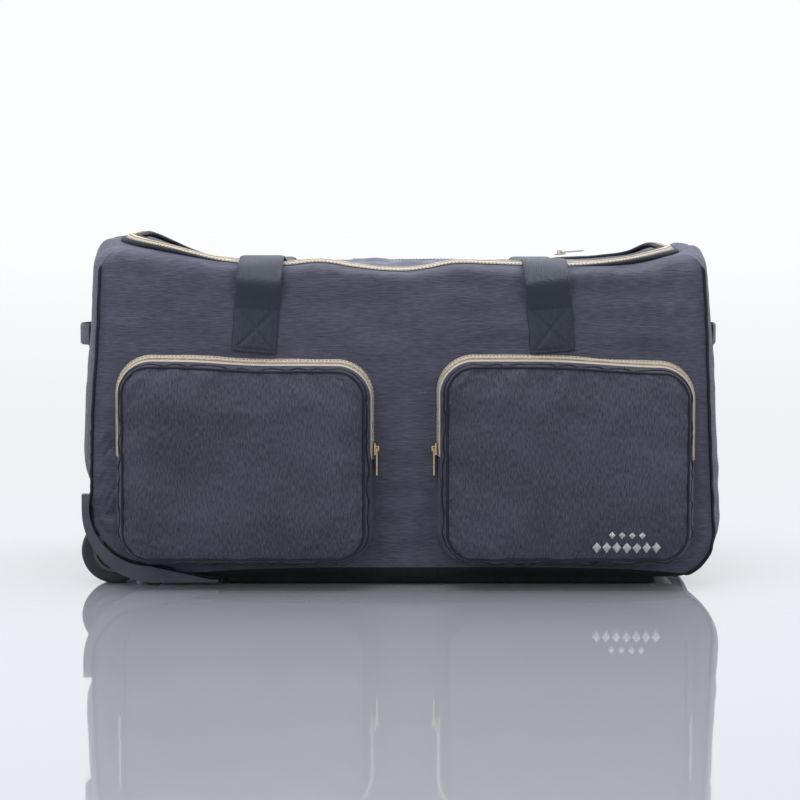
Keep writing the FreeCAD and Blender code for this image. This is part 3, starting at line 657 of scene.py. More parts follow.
def body_walls():
    """Rows of points up the sides, from the base line to where the fabric starts to roll over."""
    share = np.linspace(0, 1, WALL_ROWS + 1)
    roll = math.pi / 2 * BASE_ROUND
    length = share * (roll + WALL_TOP - BASE_Z - BASE_ROUND)
    turn = np.clip(length / roll, 0, 1) * math.pi / 2
    middle_z = BASE_Z + np.where(length < roll, BASE_ROUND * (1 - np.cos(turn)), BASE_ROUND + length - roll)
    half_y = HALF_DEPTH - BASE_ROUND * (1 - np.sin(turn))
    sx, sy = EDGE.T
    ends = []
    for (place, normal), fabric, side in zip(end_paths(share), (wheel_end_fabric, grip_end_fabric), (-1, 1)):
        inset, swell = fabric(place[:, 1])
        ends.append((place - normal * inset, normal, swell * np.where(sx == side, 1 - np.abs(sy) ** 7, 0)))
    (wheel, *_), (grip, *_) = ends
    u = (sx + 1) / 2
    x = wheel[:, :1] * (1 - u) + grip[:, :1] * u
    left, right = (1 - u) ** 9, u ** 9
    z = middle_z[:, None] * (1 - left - right) + wheel[:, 1:] * left + grip[:, 1:] * right
    tuck = SEAM_TUCK * np.exp(-((1 - np.abs(sx)) * HALF_LENGTH / 10.0) ** 2)
    for _, normal, push in ends:
        x = x + normal[:, :1] * push
        z = z + normal[:, 1:] * push
    return joined(x, sy * (half_y[:, None] - tuck), z)


def body_roll(start):
    """Rows from the top of the sides over to the rim's outer edge."""
    x, y = EDGE_PLAN.T
    edge = rim_section(EDGE_PLAN, EDGE_OUT, [BODY_EDGE])[0]
    crease = curve_through(FRONT_EDGE, start[:, 0]) + np.where(EDGE[:, 1] < 0, 0, 5.0)
    end_height = rim_height(x, y) + np.where(x < 0, 2.0, 10.0)
    front_like = np.clip((np.abs(EDGE[:, 1]) - 0.55) / 0.45, 0, 1)
    crest = end_height * (1 - front_like) + crease * front_like
    p1, p2 = start.copy(), edge.copy()
    p1[:, 2] += np.maximum(6.0, (crest - WALL_TOP) * 0.95)
    gap = np.linalg.norm(edge[:, :2] - start[:, :2], axis=1)
    p2[:, :2] += EDGE_OUT * gap[:, None] * 0.55
    p2[:, 2] = np.maximum(edge[:, 2] - 2.0 - 0.18 * gap, p1[:, 2] - 1.0)
    t = np.linspace(0, 1, ROLL_ROWS + 1)[1:, None, None]
    return start * (1 - t) ** 3 + 3 * p1 * t * (1 - t) ** 2 + 3 * p2 * t * t * (1 - t) + edge * t ** 3


def grid_normals(grid):
    """Unit normals of a grid of points that is joined round."""
    return unit(np.cross(np.roll(grid, -1, 1) - np.roll(grid, 1, 1), np.gradient(grid, axis=0)))


def crumple(grid):
    """Wrinkles of the body's fabric, in millimetres along its normal."""
    x, y, z = np.moveaxis(grid, -1, 0)
    sx, sy = np.abs(EDGE).T
    around = np.where(sx == 1, y, x)
    slack = ripples(1, 150, 60, around, z) * 0.8 + ripples(2, 60, 26, around, z) * 0.16
    low = ripples(3, 80, 34, around, z) * 0.7 * smooth(200, 60, z) * smooth(12, 40, z)
    top = ripples(4, 46, 70, around, z) * 0.6 * smooth(300, 350, z)
    folds = ripples(11, 70, 15, around, z) * 1.5 * smooth(-262, -318, x)
    folds = folds * smooth(215, 150, z) * smooth(25, 60, z)
    hush = np.where(sx == 1, 0.55, smooth(0, 16, (1 - sx) * HALF_LENGTH))
    hush = hush * np.where(sy == 1, 1, smooth(0, 22, (1 - sy) * HALF_DEPTH))
    rows, last = np.arange(len(grid))[:, None], len(grid) - 1
    hush = hush * smooth(last, last - 6, rows) * smooth(3, 9, rows)
    return (slack + low + top + np.where(EDGE[:, 1] == -1, folds, 0)) * hush


def body_rows():
    """The whole outer surface of the sides and the rolled top, as rows round the bag."""
    walls = body_walls()
    rows = np.concatenate([walls, body_roll(walls[-1])])
    return rows + grid_normals(rows) * crumple(rows)[..., None]


def fabric_uv(grid, side):
    """Lengths along and up the fabric for every point of one side's grid."""
    rise = np.linalg.norm(np.diff(grid, axis=0), axis=2)
    up = np.concatenate([np.zeros((1, grid.shape[1])), np.cumsum(rise, axis=0)])
    flat = side in ("front", "back")
    if flat:
        wall = np.arange(len(grid))[:, None] <= WALL_ROWS
        up = np.where(wall, grid[..., 2], WALL_TOP + up - up[WALL_ROWS])
    else:
        up = up[:, DEEP // 2, None]
    return joined(grid[..., 0 if flat else 1] + 1000.0 * list(COLUMNS).index(side), up)


def clear_of_hardware(centres):
    """Which faces stay: none where the foot, the housings or the trolley's cup take the fabric's place."""
    x, y, z = centres.T
    y = np.abs(y)
    foot = (x < FOOT_HIGH[0]) & (y < FOOT_HIGH[1] - 1) & (z < FOOT_HIGH[2] - 1)
    housing = (x < WHEEL_CORNER_AT[0] + 5) & (y > HOUSING_LOW[1]) & (y < HALF_DEPTH - 9) & (z < HOUSING_TOP)
    cup = (x > CUP_LOW[0]) & (y < CUP_HIGH[1]) & (z < CUP_HIGH[2])
    return ~(foot | housing | cup)


REPLACED = {"front": ["front_panel"], "grip_end": ["grip_end_panel", "grip_end_top"],
            "back": ["back_panel"], "wheel_end": ["wheel_end_panel", "wheel_end_top"]}


def columns_of(rows, side):
    """One side's columns, with both its seams."""
    first, last = COLUMNS[side]
    return rows[:, [i % AROUND for i in range(first, last + 1)]]


def make_body():
    """Front, back and end panels, the base, the lining and the corded seams."""
    rows = body_rows()
    # the lowest rows get the near-black fabric, painted shade where the sides meet the floor
    band = int(np.searchsorted(rows[:WALL_ROWS, ALONG // 2, 2], SHADED_BASE_TOP))
    parts = (("fabric", slice(band, None), BODY), ("painted_shade_band", slice(0, band + 1), BASE_PAINTED_SHADE))
    for side in COLUMNS:
        grid = columns_of(rows, side)
        uv = fabric_uv(grid, side)
        for name, part, material in parts:
            panel = grid_piece(f"{side}_{name}", grid[part], material, "bag", uv[part],
                               keep=clear_of_hardware)
            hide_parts(*REPLACED[side])
    inner = rows - grid_normals(rows) * LINING_GAP
    for side in COLUMNS:
        grid = columns_of(inner, side)[::2, ::2]
        uv = joined(np.arange(grid.shape[1]) * 6.0, grid[..., 2])
        grid_piece(f"{side}_lining", grid, LINING, "bag", uv, flip=True, keep=clear_of_hardware)
    grid = coons(*edges_of(rows[0]))
    base = grid_piece("base_fabric", grid, BASE_PAINTED_SHADE, "bag", grid[..., :2], flip=True, keep=clear_of_hardware)
    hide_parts("bottom_panel")
    make_end_boards(rows)
    make_corner_seams(rows)
    return rows


def make_corner_seams(rows):
    """The four upright corners' cords and the stitches beside them."""
    corners = (0, ALONG, ALONG + DEEP, 2 * ALONG + DEEP)
    for n, (corner, first, beside) in enumerate(zip(corners, (8, 4, 4, 8), (4, -4, 4, -4))):
        up = slice(first, WALL_ROWS + 6)
        outward = unit([*EDGE[corner], 0])
        cord = tube(f"corner_seam_cord_{n + 1}", rows[up, corner] + outward * 0.6, CORD_R, "bag")
        line = rows[up, (corner + beside) % AROUND]
        stitch_piece(f"corner_seam_stitches_{n + 1}", [(line, (0, EDGE[corner, 1], 0))], "bag")
        if n in (0, 3):
            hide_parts("front_piping" if n == 0 else "back_piping")


def make_end_boards(rows):
    """The stiff boards between each end's fabric and its lining."""
    inner = rows - grid_normals(rows) * BOARD_GAP
    for side in ("wheel_end", "grip_end"):
        node = f"{side}_board"
        low, high = node_box(node)
        grid = columns_of(inner, side)
        height = grid[:, DEEP // 2, 2]
        used = (height > low[2]) & (height < high[2])
        board = grid_piece(f"{side}_stiffener", grid[used][:, 8:-8], BOARD, "bag", slot="board")
        thicken(board, BOARD_THICK)
        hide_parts(node)


def coons(front, back, wheel, grip):
    """A surface between four edges that share corners: front and back run along X, the others along Y."""
    u = np.linspace(0, 1, len(front))[None, :, None]
    v = np.linspace(0, 1, len(wheel))[:, None, None]
    flat, deep = front * (1 - v) + back * v, wheel[:, None] * (1 - u) + grip[:, None] * u
    near, far = (edge[0] * (1 - u) + edge[-1] * u for edge in (front, back))
    return flat + deep - near * (1 - v) - far * v


def edges_of(loop, along=ALONG, deep=DEEP):
    """A closed loop's four edges, each running towards +X or across."""
    loop = np.concatenate([loop, loop[:1]])
    back, wheel = along + deep, 2 * along + deep
    return loop[:along + 1], loop[back:wheel + 1][::-1], loop[wheel:][::-1], loop[along:back + 1]


BODY_ROWS = make_body()


# ---- the main zip and the lid ----
def zip_run():
    """The rim's points from the hinge's wheel side, round the front, to its grip side."""
    x, y = RIM_PLAN.T
    hinge = (y > RIM_BACK_Y - 1) & (np.abs(x) < HINGE_HALF)
    first = np.nonzero(hinge)[0][-1] + 1
    order = (np.arange(len(RIM_PLAN)) + first) % len(RIM_PLAN)
    order = order[~hinge[order]]
    return RIM_PLAN[order], RIM_OUT[order]


def tape_strip(name, grid, body=None):
    """Zip tape from points x section, closed round its section and capped at both ends."""
    uv = joined(lengths_along(grid[0]), lengths_along(grid[:, 0])[:, None])
    return closed_piece(name, grid, capped_faces(*grid.shape[:2]), TAPE, body, uv, "zip_gold")


def teeth(name, path, across, up, low, body=None, shift=0.0, high=1.9, pitch=2.6):
    """One side's row of coil turns: a small rounded bar across the zip at every pitch."""
    total = path_length(path)
    share = (np.arange(int(total / pitch)) + 0.5 + shift) * pitch / total
    share = share[share < 1]
    at = path_along(path, share)
    side, lift = unit(values_along(path, across, share)), unit(values_along(path, up, share))
    along = unit(np.cross(lift, side))
    taper = (high - low) * 0.18
    rings = [at + side * offset + along * (0.72 * size * math.cos(a)) + lift * (0.85 * size * math.sin(a))
             for offset, size in ((low, 0.25), (low + taper, 1.0), (high - taper, 1.0), (high, 0.25))
             for a in np.radians(np.arange(0, 360, 60))]
    faces = shifted(capped_faces(4, 6), *range(0, len(rings) * len(at), len(rings)))
    return mesh_piece(name, np.stack(rings, 1), faces, COIL, body, None, "zip_gold")


TAPE_SECTION = [(6.4, -2.9, -1.9), (4.7, -1.4, -0.9), (3.0, 0.1, 0.2), (1.3, 1.0, 1.0),
                (1.3, 0.2, 0.2), (3.0, -0.8, -0.7), (4.7, -2.3, -1.8), (6.4, -3.8, -2.8)]
LID_TAPE_SECTION = [(-out, 0.6 + 0.4 * flat, 0.8 + 0.5 * steep) for out, flat, steep in TAPE_SECTION]


def inside_rim(x, y):
    """How far inside the rim's middle line a place is."""
    cy, half_y = (RIM_FRONT_Y + RIM_BACK_Y) / 2, (RIM_BACK_Y - RIM_FRONT_Y) / 2
    qx = np.abs(x) - (RIM_HALF - RIM_ROUND)
    qy = np.abs(y - cy) - (half_y - RIM_ROUND)
    outside = np.hypot(np.maximum(qx, 0), np.maximum(qy, 0)) + np.minimum(np.maximum(qx, qy), 0)
    return RIM_ROUND - outside


LID_RIDGE = 365.6            # the stiff zip edge lifts the lid this high along its front
LID_BELOW_ZIP = 1.6


def lid_height(x, y):
    """Height of the lid's outer side, which lies deeper inside the rim towards the bag's ends."""
    ends, depth = ends_share(x), inside_rim(x, y) - 9.0
    edge = rim_height(x, y) - LID_BELOW_ZIP
    ridge = np.clip(LID_RIDGE - 6 * smooth(80, 150, np.abs(x)) - edge, 0, 10) * smooth(4, 40, depth)
    ridge *= smooth(-50, -85, y)
    hollow = 7.0 * smooth(58, 100, depth) * smooth(80, 30, y)
    return edge + 0.2 * ends - 9.0 * ends * smooth(0, 20, depth) + (ridge - hollow) * (1 - ends)


def make_zip():
    """Both sides of the main zip: welt, tape, coil and stitches."""
    plan, out = zip_run()
    across = joined(*out.T, 0)
    middle = rim_section(plan, out, [(0.0, 1.2, 1.5)])[0]
    for section, body, side, sign in ((TAPE_SECTION, "bag", "body", 1), (LID_TAPE_SECTION, "lid", "lid", -1)):
        strip = tape_strip(f"main_zip_{side}_tape", rim_section(plan, out, section).transpose(1, 0, 2), body)
        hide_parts(f"main_zip_{side}_side")
        teeth(f"main_zip_{side}_coil", middle, across * sign, UP, -0.5, body, 0.25 * sign)
        seam = rim_section(plan, out, section[1:2])[0] + UP * 0.25
        stitch_piece(f"main_zip_{side}_stitches", [(seam, UP)], body)
    welt = rim_section(RIM_PLAN, RIM_OUT, [(7.6, -4.0, -4.6)])[0]
    tube("rim_welt", welt, 2.2 + 1.5 * ends_share(welt[:, 0]), "bag", 14, True)
    welt = rim_section(RIM_PLAN, RIM_OUT, [(-7.6, -0.9, -0.4)])[0]
    tube("lid_welt", welt, 2.4, "lid", 12, True)


def make_lid():
    """The lid's fabric and the strip of fabric that it turns on."""
    grid = coons(*edges_of(rim_section(EDGE_PLAN, EDGE_OUT, [LID_EDGE])[0]))
    x, y = grid[..., 0], grid[..., 1]
    creases = ripples(5, 90, 38, x, y) + ripples(6, 30, 60, x, y) * 0.45
    grid[..., 2] = lid_height(x, y) + creases * smooth(4, 40, inside_rim(x, y) - 9.0)
    # the lid uses the lighter nylon copy, partly painted light for its pale grazing reflection
    lid = grid_piece("lid_fabric", grid, LID_NYLON_PAINTED_LIGHT, "lid", grid[..., :2] + 3000.0)
    lid.data.materials.append(LINING)
    thicken(lid, LID_THICK)
    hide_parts("lid_panel")
    x = np.linspace(-HINGE_HALF - 1, HINGE_HALF + 1, 76)
    share = np.linspace(0, 1, 13)[:, None]
    y = RIM_BACK_Y + (BODY_EDGE[0] - 1) * (1 - share) + (LID_EDGE[0] + 1) * share
    rows = joined(x, y, rim_height(x, y) - 2.6 + 1.4 * np.sin(math.pi * share))
    strip = grid_piece("hinge_fabric", rows[::-1], BODY, None, rows[..., :2])
    thicken(strip, HINGE_THICK)
    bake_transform(strip)


# ---- handles ----
LOOP_MIDDLE = 33.0           # from the middle plane to the middle of a carry loop's grip
LOOP_BEND = 48.0
STRAP_LEAN = 9.0
STRAP_SHIFT = 3.5            # the pair of straps sits this far towards the grip end
WEB = 1.9
# each handle's way up its face and back over the lid, (distance from the middle plane, height)
FRONT_OVER = [(166.6, 264), (166.6, 300), (167.0, 316), (171.5, 328), (177.5, 338), (179.0, 343),
              (176.5, 351), (169.5, 359.5), (158, 366.5), (145, 370.5), (130, 370.4), (114, 368)]
BACK_OVER = [(167.0, 264), (167.0, 300), (167.2, 330), (169.0, 344), (168.0, 354), (162, 360.5),
             (153, 363.5), (142, 364.6), (128, 364.8), (112, 363.8)]


def strap_route(over, sign):
    """A carry handle's middle line and upper side, from one riser's foot round to the other's."""
    over = np.array(over, float)
    riser = relaxed(respaced(over, 100), 14)
    rise = (riser[:, 1] - over[0, 1]) / (over[:, 1].max() - over[0, 1])
    riser = np.column_stack([STRAP_X - STRAP_LEAN * np.clip(rise, 0, 1), riser])
    x, y, z = riser[-1]
    bend = arc_points((x - LOOP_BEND, LOOP_MIDDLE + LOOP_BEND), LOOP_BEND, 0, -90)
    plan = respaced([(x, y), *bend, (0, LOOP_MIDDLE)], 90)[1:]
    x, y = plan.T
    under = [lid_height(x + STRAP_SHIFT + dx, sign * y + dy)
             for dx, dy in ((0, 0), (0, -20), (0, 20), (-20, 0), (20, 0))]
    wavy = 0.6 * smooth(20, 120, x) * (1 + np.sin(x / 21.0 + y / 17.0))
    settle = smooth(0, 45, lengths_along(plan))
    height = z * (1 - settle) + (np.max(under, axis=0) + 1.7 + wavy) * settle
    half = np.concatenate([riser, np.column_stack([plan, height])]) * (1, sign, 1)
    route = relaxed(np.concatenate([half, half[-2::-1] * (-1, 1, 1)]), 3)
    route[:, 0] += STRAP_SHIFT
    if sign < 0:
        route[:, 2] -= 3.5 * smooth(60, 150, route[:, 0]) * smooth(335, 362, route[:, 2])
    tangent = unit(np.gradient(route, axis=0))
    lying = smooth(0.75, 0.2, np.abs(tangent[:, 2]))
    upper = joined(0, sign * (1 - lying), lying)
    upper = unit(upper - tangent * np.sum(upper * tangent, 1, keepdims=True))
    return route, np.cross(tangent, upper), upper


BOX_HIGH, BOX_EDGE = 46.0, 4.0
LOOP_STARTS_Y = 141.0        # nearer the middle than this, the webbing belongs to the loop
ONE_FOOT = 1e4               # a length that keeps the box stitching at a riser's first foot
GRIP_HALF = 62.0
PAD_MIDDLE = 63.0


def riser_dent(total):
    """The groove that box stitching presses into both feet of a handle of a total length."""
    def dent(width, length):
        half, high = STRAP_HALF - BOX_EDGE, BOX_HIGH / 2
        up = np.minimum(length, total - length)
        u, v = np.abs(width) / half, np.abs(up - 3.0 - high) / high
        near = np.minimum(np.abs(u - v) * half * 0.72, np.minimum(np.abs(u - 1), np.abs(v - 1)) * half)
        return np.where((u < 1.08) & (v < 1.08), 0.8 * np.exp(-(near / 1.5) ** 2), 0.0)

    return dent


def box_and_cross(corner, along, wide, high, out):
    """The sewn box with a cross in it: runs of stitches from a corner along a direction and upwards."""
    a = np.array(corner, float)
    b, d = a + np.array(along) * wide, a + UP * high
    c = b + UP * high
    return [(np.array(ends), out) for ends in ((a, b), (b, c), (c, d), (d, a), (a, c), (b, d))]


def riser_stitches(sign, face_y):
    """Box stitching at the foot of both risers of one handle."""
    runs = []
    for side in (-1, 1):
        x = side * (STRAP_X - 0.4) + STRAP_SHIFT - STRAP_HALF + BOX_EDGE
        corner = (x, sign * face_y, RISER_LOW[2] + 1)
        runs += box_and_cross(corner, (1, 0, 0), 2 * (STRAP_HALF - BOX_EDGE), BOX_HIGH, (0, sign, 0))
    return runs


def yield_to_lid(piece):
    """Gives the piece its own copy of its mesh."""
    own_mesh(piece)


def make_handles():
    """Both carry handles: risers sewn to the faces and loops that lie back over the lid."""
    for name, over, sign in (("front", FRONT_OVER, -1), ("back", BACK_OVER, 1)):
        route, across, upper = strap_route(over, sign)
        if name == "front":
            web = ribbon("front_carry_handle", route, across, upper, STRAP_HALF, columns=34,
                         dent=riser_dent(path_length(route)))
            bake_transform(web)
            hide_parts("front_handle_risers", f"{name}_handle_loop")
        else:
            first, last = np.nonzero(route[:, 1] < LOOP_STARTS_Y)[0][[0, -1]]
            for n, part in enumerate((slice(0, first + 8), slice(None, last - 8, -1))):
                riser = ribbon(f"back_handle_riser_{n + 1}", route[part], across[part] * (1 - 2 * n),
                               upper[part], STRAP_HALF, "bag", 34, riser_dent(ONE_FOOT))
                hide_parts("back_handle_risers")
            part = slice(first, last + 1)
            loop = ribbon("back_carry_loop", route[part] + upper[part] * 0.6, across[part], upper[part],
                          STRAP_HALF - 0.4, "back_handle", 26)
            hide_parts(f"{name}_handle_loop")
            yield_to_lid(loop)
        stitch_piece(f"{name}_riser_stitches", riser_stitches(sign, over[0][0] + WEB - 0.7), "bag")
        grip_layer(name, route, across, upper)


def grip_layer(name, route, across, upper):
    """The second layer of webbing sewn on a loop's grip, with its stitches."""
    part = (np.abs(route[:, 0] - STRAP_SHIFT) < GRIP_HALF) & (np.abs(route[:, 1]) < LOOP_MIDDLE + 3)
    path = respaced(route[part] + upper[part] * (WEB - 0.3), 80)
    side = values_along(route[part], across[part], np.linspace(0, 1, 80))
    layer = ribbon(f"{name}_grip_layer", path, side, UP, STRAP_HALF - 2.5)
    runs = [(path + UP * WEB + side * edge, UP) for edge in (-STRAP_HALF + 6, STRAP_HALF - 6)]
    for piece in (layer, stitch_piece(f"{name}_grip_stitches", runs)):
        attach(piece, f"{name}_handle")
        if name == "back":
            yield_to_lid(piece)


def end_surface(side, y, z):
    """How far out the fabric of an end stands at a place."""
    grid = columns_of(BODY_ROWS, side)
    gap = np.hypot(np.abs(grid[..., 1]) - y, grid[..., 2] - z)
    return np.abs(grid[..., 0])[gap < 8].max()


def make_grab_loops():
    """A grab loop on each end, its sewn pads and their stitches."""
    arch = [(-76, 0.0), (-62, 0.3), (-50, 1.0), (-40, 4), (-28, 9.5), (-14, 14.0), (0, 15)]
    y, bow = relaxed(respaced([*arch, *((-y, out) for y, out in arch[-2::-1])], 90), 10).T
    for name, sign, slack in (("wheel_end", -1, 1.5), ("grip_end", 1, 1.0)):
        low, high = node_box(f"{name}_grab_loop")
        z = (low[2] + high[2]) / 2
        foot_x = end_surface(name, PAD_MIDDLE, z) + 0.3
        path = joined(sign * (foot_x + bow * slack), y, z)
        out = -sign * unit(np.cross(UP, np.gradient(path, axis=0)))
        loop = ribbon(f"{name}_grab_webbing", path, UP, out, 12.5, columns=14)
        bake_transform(loop)
        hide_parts(f"{name}_grab_loop")
        runs = []
        for n, middle in enumerate((-PAD_MIDDLE, PAD_MIDDLE)):
            path = joined(sign * (foot_x + 2.4), np.linspace(middle - 13, middle + 13, 14), z)
            pad = ribbon(f"{name}_grab_pad_{n + 1}", path, UP, (sign, 0, 0), 14.5, "bag", 14)
            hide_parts(f"{name}_grab_pads")
            corner = (sign * (foot_x + 2.4 + WEB), middle - 10, z - 11)
            runs += box_and_cross(corner, (0, 1, 0), 20, 22, (sign, 0, 0))
        stitch_piece(f"{name}_pad_stitches", runs, "bag")


# ---- pockets ----
POCKET_ROUND = 42.0
ZIP_END_Z = 148.0
# how far a pocket's side lies inside its outline, (depth, inset), and how much further along the top
GUSSET = [(0.2, 0.0), (5.0, 1.5), (13.0, 3.4), (25.0, 6.0), (36.0, 9.0), (41.0, 11.5)]
GUSSET_TOP = [(0.2, 0.0), (5.0, 2.6), (13.0, 3.6), (25.0, 2.6), (41.0, 1.0)]
POCKET_ALONG, POCKET_UP, GUSSET_ROWS = 84, 70, 12
POCKET_CLOTH = {"quality": 7, "mass": 0.25, "tension_stiffness": 18, "compression_stiffness": 18,
                "shear_stiffness": 8, "bending_stiffness": 0.6, "use_pressure": True,
                "uniform_pressure_force": 2.2, "shrink_min": -0.02}
BODY_TAPE, POCKET_COIL, FLAP_TAPE = (0.5, 3.0, 5.8), 6.9, (8.0, 11.0, 14.6)   # depths from the bag's face
FARTHEST_MOVE = 6.0          # of a pocket's fabric as it settles


def drooped(name, plan):
    """A pocket's outline with its top edge sagging a little towards one side."""
    x, z = plan.T
    if name == "grip_side":
        drop = 7.0 * smooth(150, 300, x)
    else:
        drop = 5.0 * smooth(-270, -60, x) + 2.0 * np.exp(-((x + 165) / 45) ** 2)
    return joined(x, z - drop * smooth(70, 195, z))


def gusset_points(place, out, depth, under=0.0):
    """Points on or under a pocket's side, which lies a little further inside its outline along the top."""
    inset = np.interp(depth, *zip(*GUSSET)) + np.interp(depth, *zip(*GUSSET_TOP)) * np.maximum(out[:, 1], 0)
    x, z = np.moveaxis(place - out * (inset + under)[..., None], -1, 0)
    return joined(x, -HALF_DEPTH - depth, z)


def pocket_crumple(x, z, centre):
    """Wrinkles of a pocket's front: strongest in its lower corners."""
    lower = smooth(150, 40, z) * smooth(30, 120, np.abs(x - centre))
    return (ripples(7, 26, 60, x, z) * 0.35 + ripples(8, 60, 90, x, z) * 0.7
            + ripples(9, 18, 34, x + z, z - x) * 0.9 * lower)


def points_of(mesh):
    """A mesh's points as an array."""
    values = np.zeros(len(mesh.vertices) * 3)
    mesh.vertices.foreach_get("co", values)
    return values.reshape(-1, 3)


def settle_cloth(piece, pinned):
    """Runs the piece's fabric as a cloth held at its pinned points, and keeps the shape it takes."""
    group = piece.vertex_groups.new(name="sewn")
    group.add(pinned, 1.0, "REPLACE")
    cloth = piece.modifiers.new("cloth", "CLOTH")
    set_up(cloth.settings, vertex_group_mass="sewn", **POCKET_CLOTH).effector_weights.gravity = 0
    cloth.collision_settings.use_collision = False
    scene = bpy.context.scene
    for number in range(1, 21):
        scene.frame_set(number)
    rest = points_of(piece.data)
    move = points_of(piece.evaluated_get(bpy.context.evaluated_depsgraph_get()).data) - rest
    size = np.maximum(np.linalg.norm(move, axis=1, keepdims=True), 1e-9)
    move *= np.minimum(1, FARTHEST_MOVE * MM / size)
    piece.modifiers.remove(cloth)
    piece.vertex_groups.remove(group)
    piece.data.vertices.foreach_set("co", (rest + move).ravel())
    piece.data.update()
    scene.frame_set(1)


def fold_with_flap(piece):
    """Bakes the piece's placement into its mesh."""
    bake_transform(piece)


def pocket_grids(name, low, high):
    """A pocket's side as rows from the bag outwards, its front, and the outline's outward directions."""
    half = (high - low) / 2
    place, out = rounded(rectangle(eased(POCKET_ALONG, 0.35), eased(POCKET_UP, 0.35)), half,
                         half - POCKET_ROUND, POCKET_ROUND)
    place = drooped(name, place + (low + high) / 2)
    near = GUSSET[0][0] + 13.0 * smooth(ZIP_END_Z - 6, ZIP_END_Z + 6, place[:, 1])
    share = np.linspace(0, 1, GUSSET_ROWS + 1)[:, None]
    gusset = gusset_points(place, out, near + share * (GUSSET[-1][0] - near))
    sag = ripples(10, 60, 60, gusset[-1, :, 0] + 400, gusset[-1, :, 2]) * 0.8
    gusset[..., 1] += sag * share ** 2
    face = coons(*edges_of(gusset[-1], POCKET_ALONG, POCKET_UP))
    u, v = np.linspace(-1, 1, POCKET_ALONG + 1), np.linspace(-1, 1, POCKET_UP + 1)[:, None]
    crown = (1 - np.abs(u) ** 4) * (1 - np.abs(v) ** 4)
    face[..., 1] -= crown * (4.6 + pocket_crumple(face[..., 0], face[..., 2], (low[0] + high[0]) / 2))
    return gusset, face, out


def make_pocket(name):
    """One pocket: its skin, corded seams, zip and stitches. Gives back its front's settled points."""
    low, high = (corner[::2] for corner in node_box(f"{name}_pocket_lower"))
    high[1] = node_box(f"{name}_pocket_flap")[1][2]
    gusset, face, out = pocket_grids(name, low, high)
    seam, around = gusset[-1], len(out)
    a, b, last = POCKET_ALONG, POCKET_UP, GUSSET_ROWS * around
    index = np.zeros((b + 1, a + 1), int)
    index[1:b, 1:a] = last + around + np.arange((b - 1) * (a - 1)).reshape(b - 1, a - 1)
    ring = np.split(last + np.arange(around), (a, a + b, 2 * a + b))
    index[0, :a], index[:b, a], index[b, a:0:-1], index[b:0:-1, 0] = ring
    points = np.concatenate([gusset.reshape(-1, 3), face[1:b, 1:a].reshape(-1, 3)])
    quads = np.stack([index[:-1, :-1], index[:-1, 1:], index[1:, 1:], index[1:, :-1]], -1)
    faces = grid_faces(GUSSET_ROWS + 1, around, wrap=True) + quads.reshape(-1, 4).tolist()
    uv = points[:, [0, 2]]
    depth_left = gusset[..., 1:2] - seam[:, 1].min()
    uv[:last + around] = (seam[:, [0, 2]] + out * depth_left).reshape(-1, 2)
    skin = mesh_piece(f"{name}_pocket_fabric", points, faces, POCKET, None, uv + 5000.0, "pocket_fabric")
    skin.data.materials.append(LINING)
    settle_cloth(skin, [*range(3 * around), *range(last, last + around)])
    settled = points_of(skin.data) / MM
    finer = skin.modifiers.new("smooth", "SUBSURF")
    finer.levels = finer.render_levels = 1
    thicken(skin, POCKET_THICK)
    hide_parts(f"{name}_pocket_lower", f"{name}_pocket_flap")
    fold_with_flap(skin)
    for n, (row, radius) in enumerate(((GUSSET_ROWS, 1.8), (GUSSET_ROWS - 3, 1.5))):
        loop = settled[row * around:][:around]
        path = path_along([*loop, loop[0]], np.linspace(0, 1, 420, endpoint=False))
        fold_with_flap(tube(f"{name}_pocket_cord_{n + 1}", path, radius, closed=True))
    inner = line_inside(settled[index], 5)
    fold_with_flap(stitch_piece(f"{name}_pocket_stitches", [(inner, (0, -1, 0))]))
    make_pocket_zip(name, low, high)
    return settled[index]


def line_inside(grid, step):
    """The closed line a few points inside a grid's edge."""
    g = grid[step:-step, step:-step]
    return respaced(np.concatenate([g[0], g[1:, -1], g[-1, -2::-1], g[-2::-1, 0]]), 700)


def make_pocket_zip(name, low, high):
    """The zip round the upper half of a pocket."""
    r = POCKET_ROUND
    line = [(low[0], ZIP_END_Z), *arc_points((low[0] + r, high[1] - r), r, 180, 90),
            *arc_points((high[0] - r, high[1] - r), r, 90, 0), (high[0], ZIP_END_Z)]
    line = drooped(name, respaced(line, 420))
    out = -to_the_right(unit(np.gradient(line, axis=0)))

    def swept(section):
        """The section's points, each (depth, how far it lies under the gusset's surface), along the zip."""
        depth, under = np.transpose(section)[..., None]
        return gusset_points(line, out, depth, under).transpose(1, 0, 2)

    for side, depths, body in (("body", BODY_TAPE, "bag"), ("flap", FLAP_TAPE, None)):
        section = [(depth, -0.3) for depth in depths] + [(depth, 0.5) for depth in depths[::-1]]
        tape = tape_strip(f"{name}_pocket_zip_{side}_tape", swept(section), body)
        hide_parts(f"{name}_pocket_zip_{side}_side")
    fold_with_flap(tape)
    middle = swept([(POCKET_COIL, -0.5)])[:, 0]
    up = joined(out[:, 0], -0.45, out[:, 1])
    across = up * 0.4 + (0, 1, 0)
    teeth(f"{name}_pocket_zip_body_coil", middle, across, up, -0.4, "bag", 0.25)
    fold_with_flap(teeth(f"{name}_pocket_zip_flap_coil", middle, -across, up, -0.4, None, -0.25))
    seam = swept([(2.6, -0.5)])[:, 0]
    stitch_piece(f"{name}_pocket_zip_stitches", [(seam, joined(out[:, 0], -0.6, out[:, 1]))], "bag")


# the middle x and z and the half sizes of each diamond
MOTIF = [(218 + 11 * n, 50.0, 4.6, 6.4) for n in range(7)]
MOTIF += [(234.5 + 11 * n, 64.0, 3.4, 4.2) for n in range(4)]


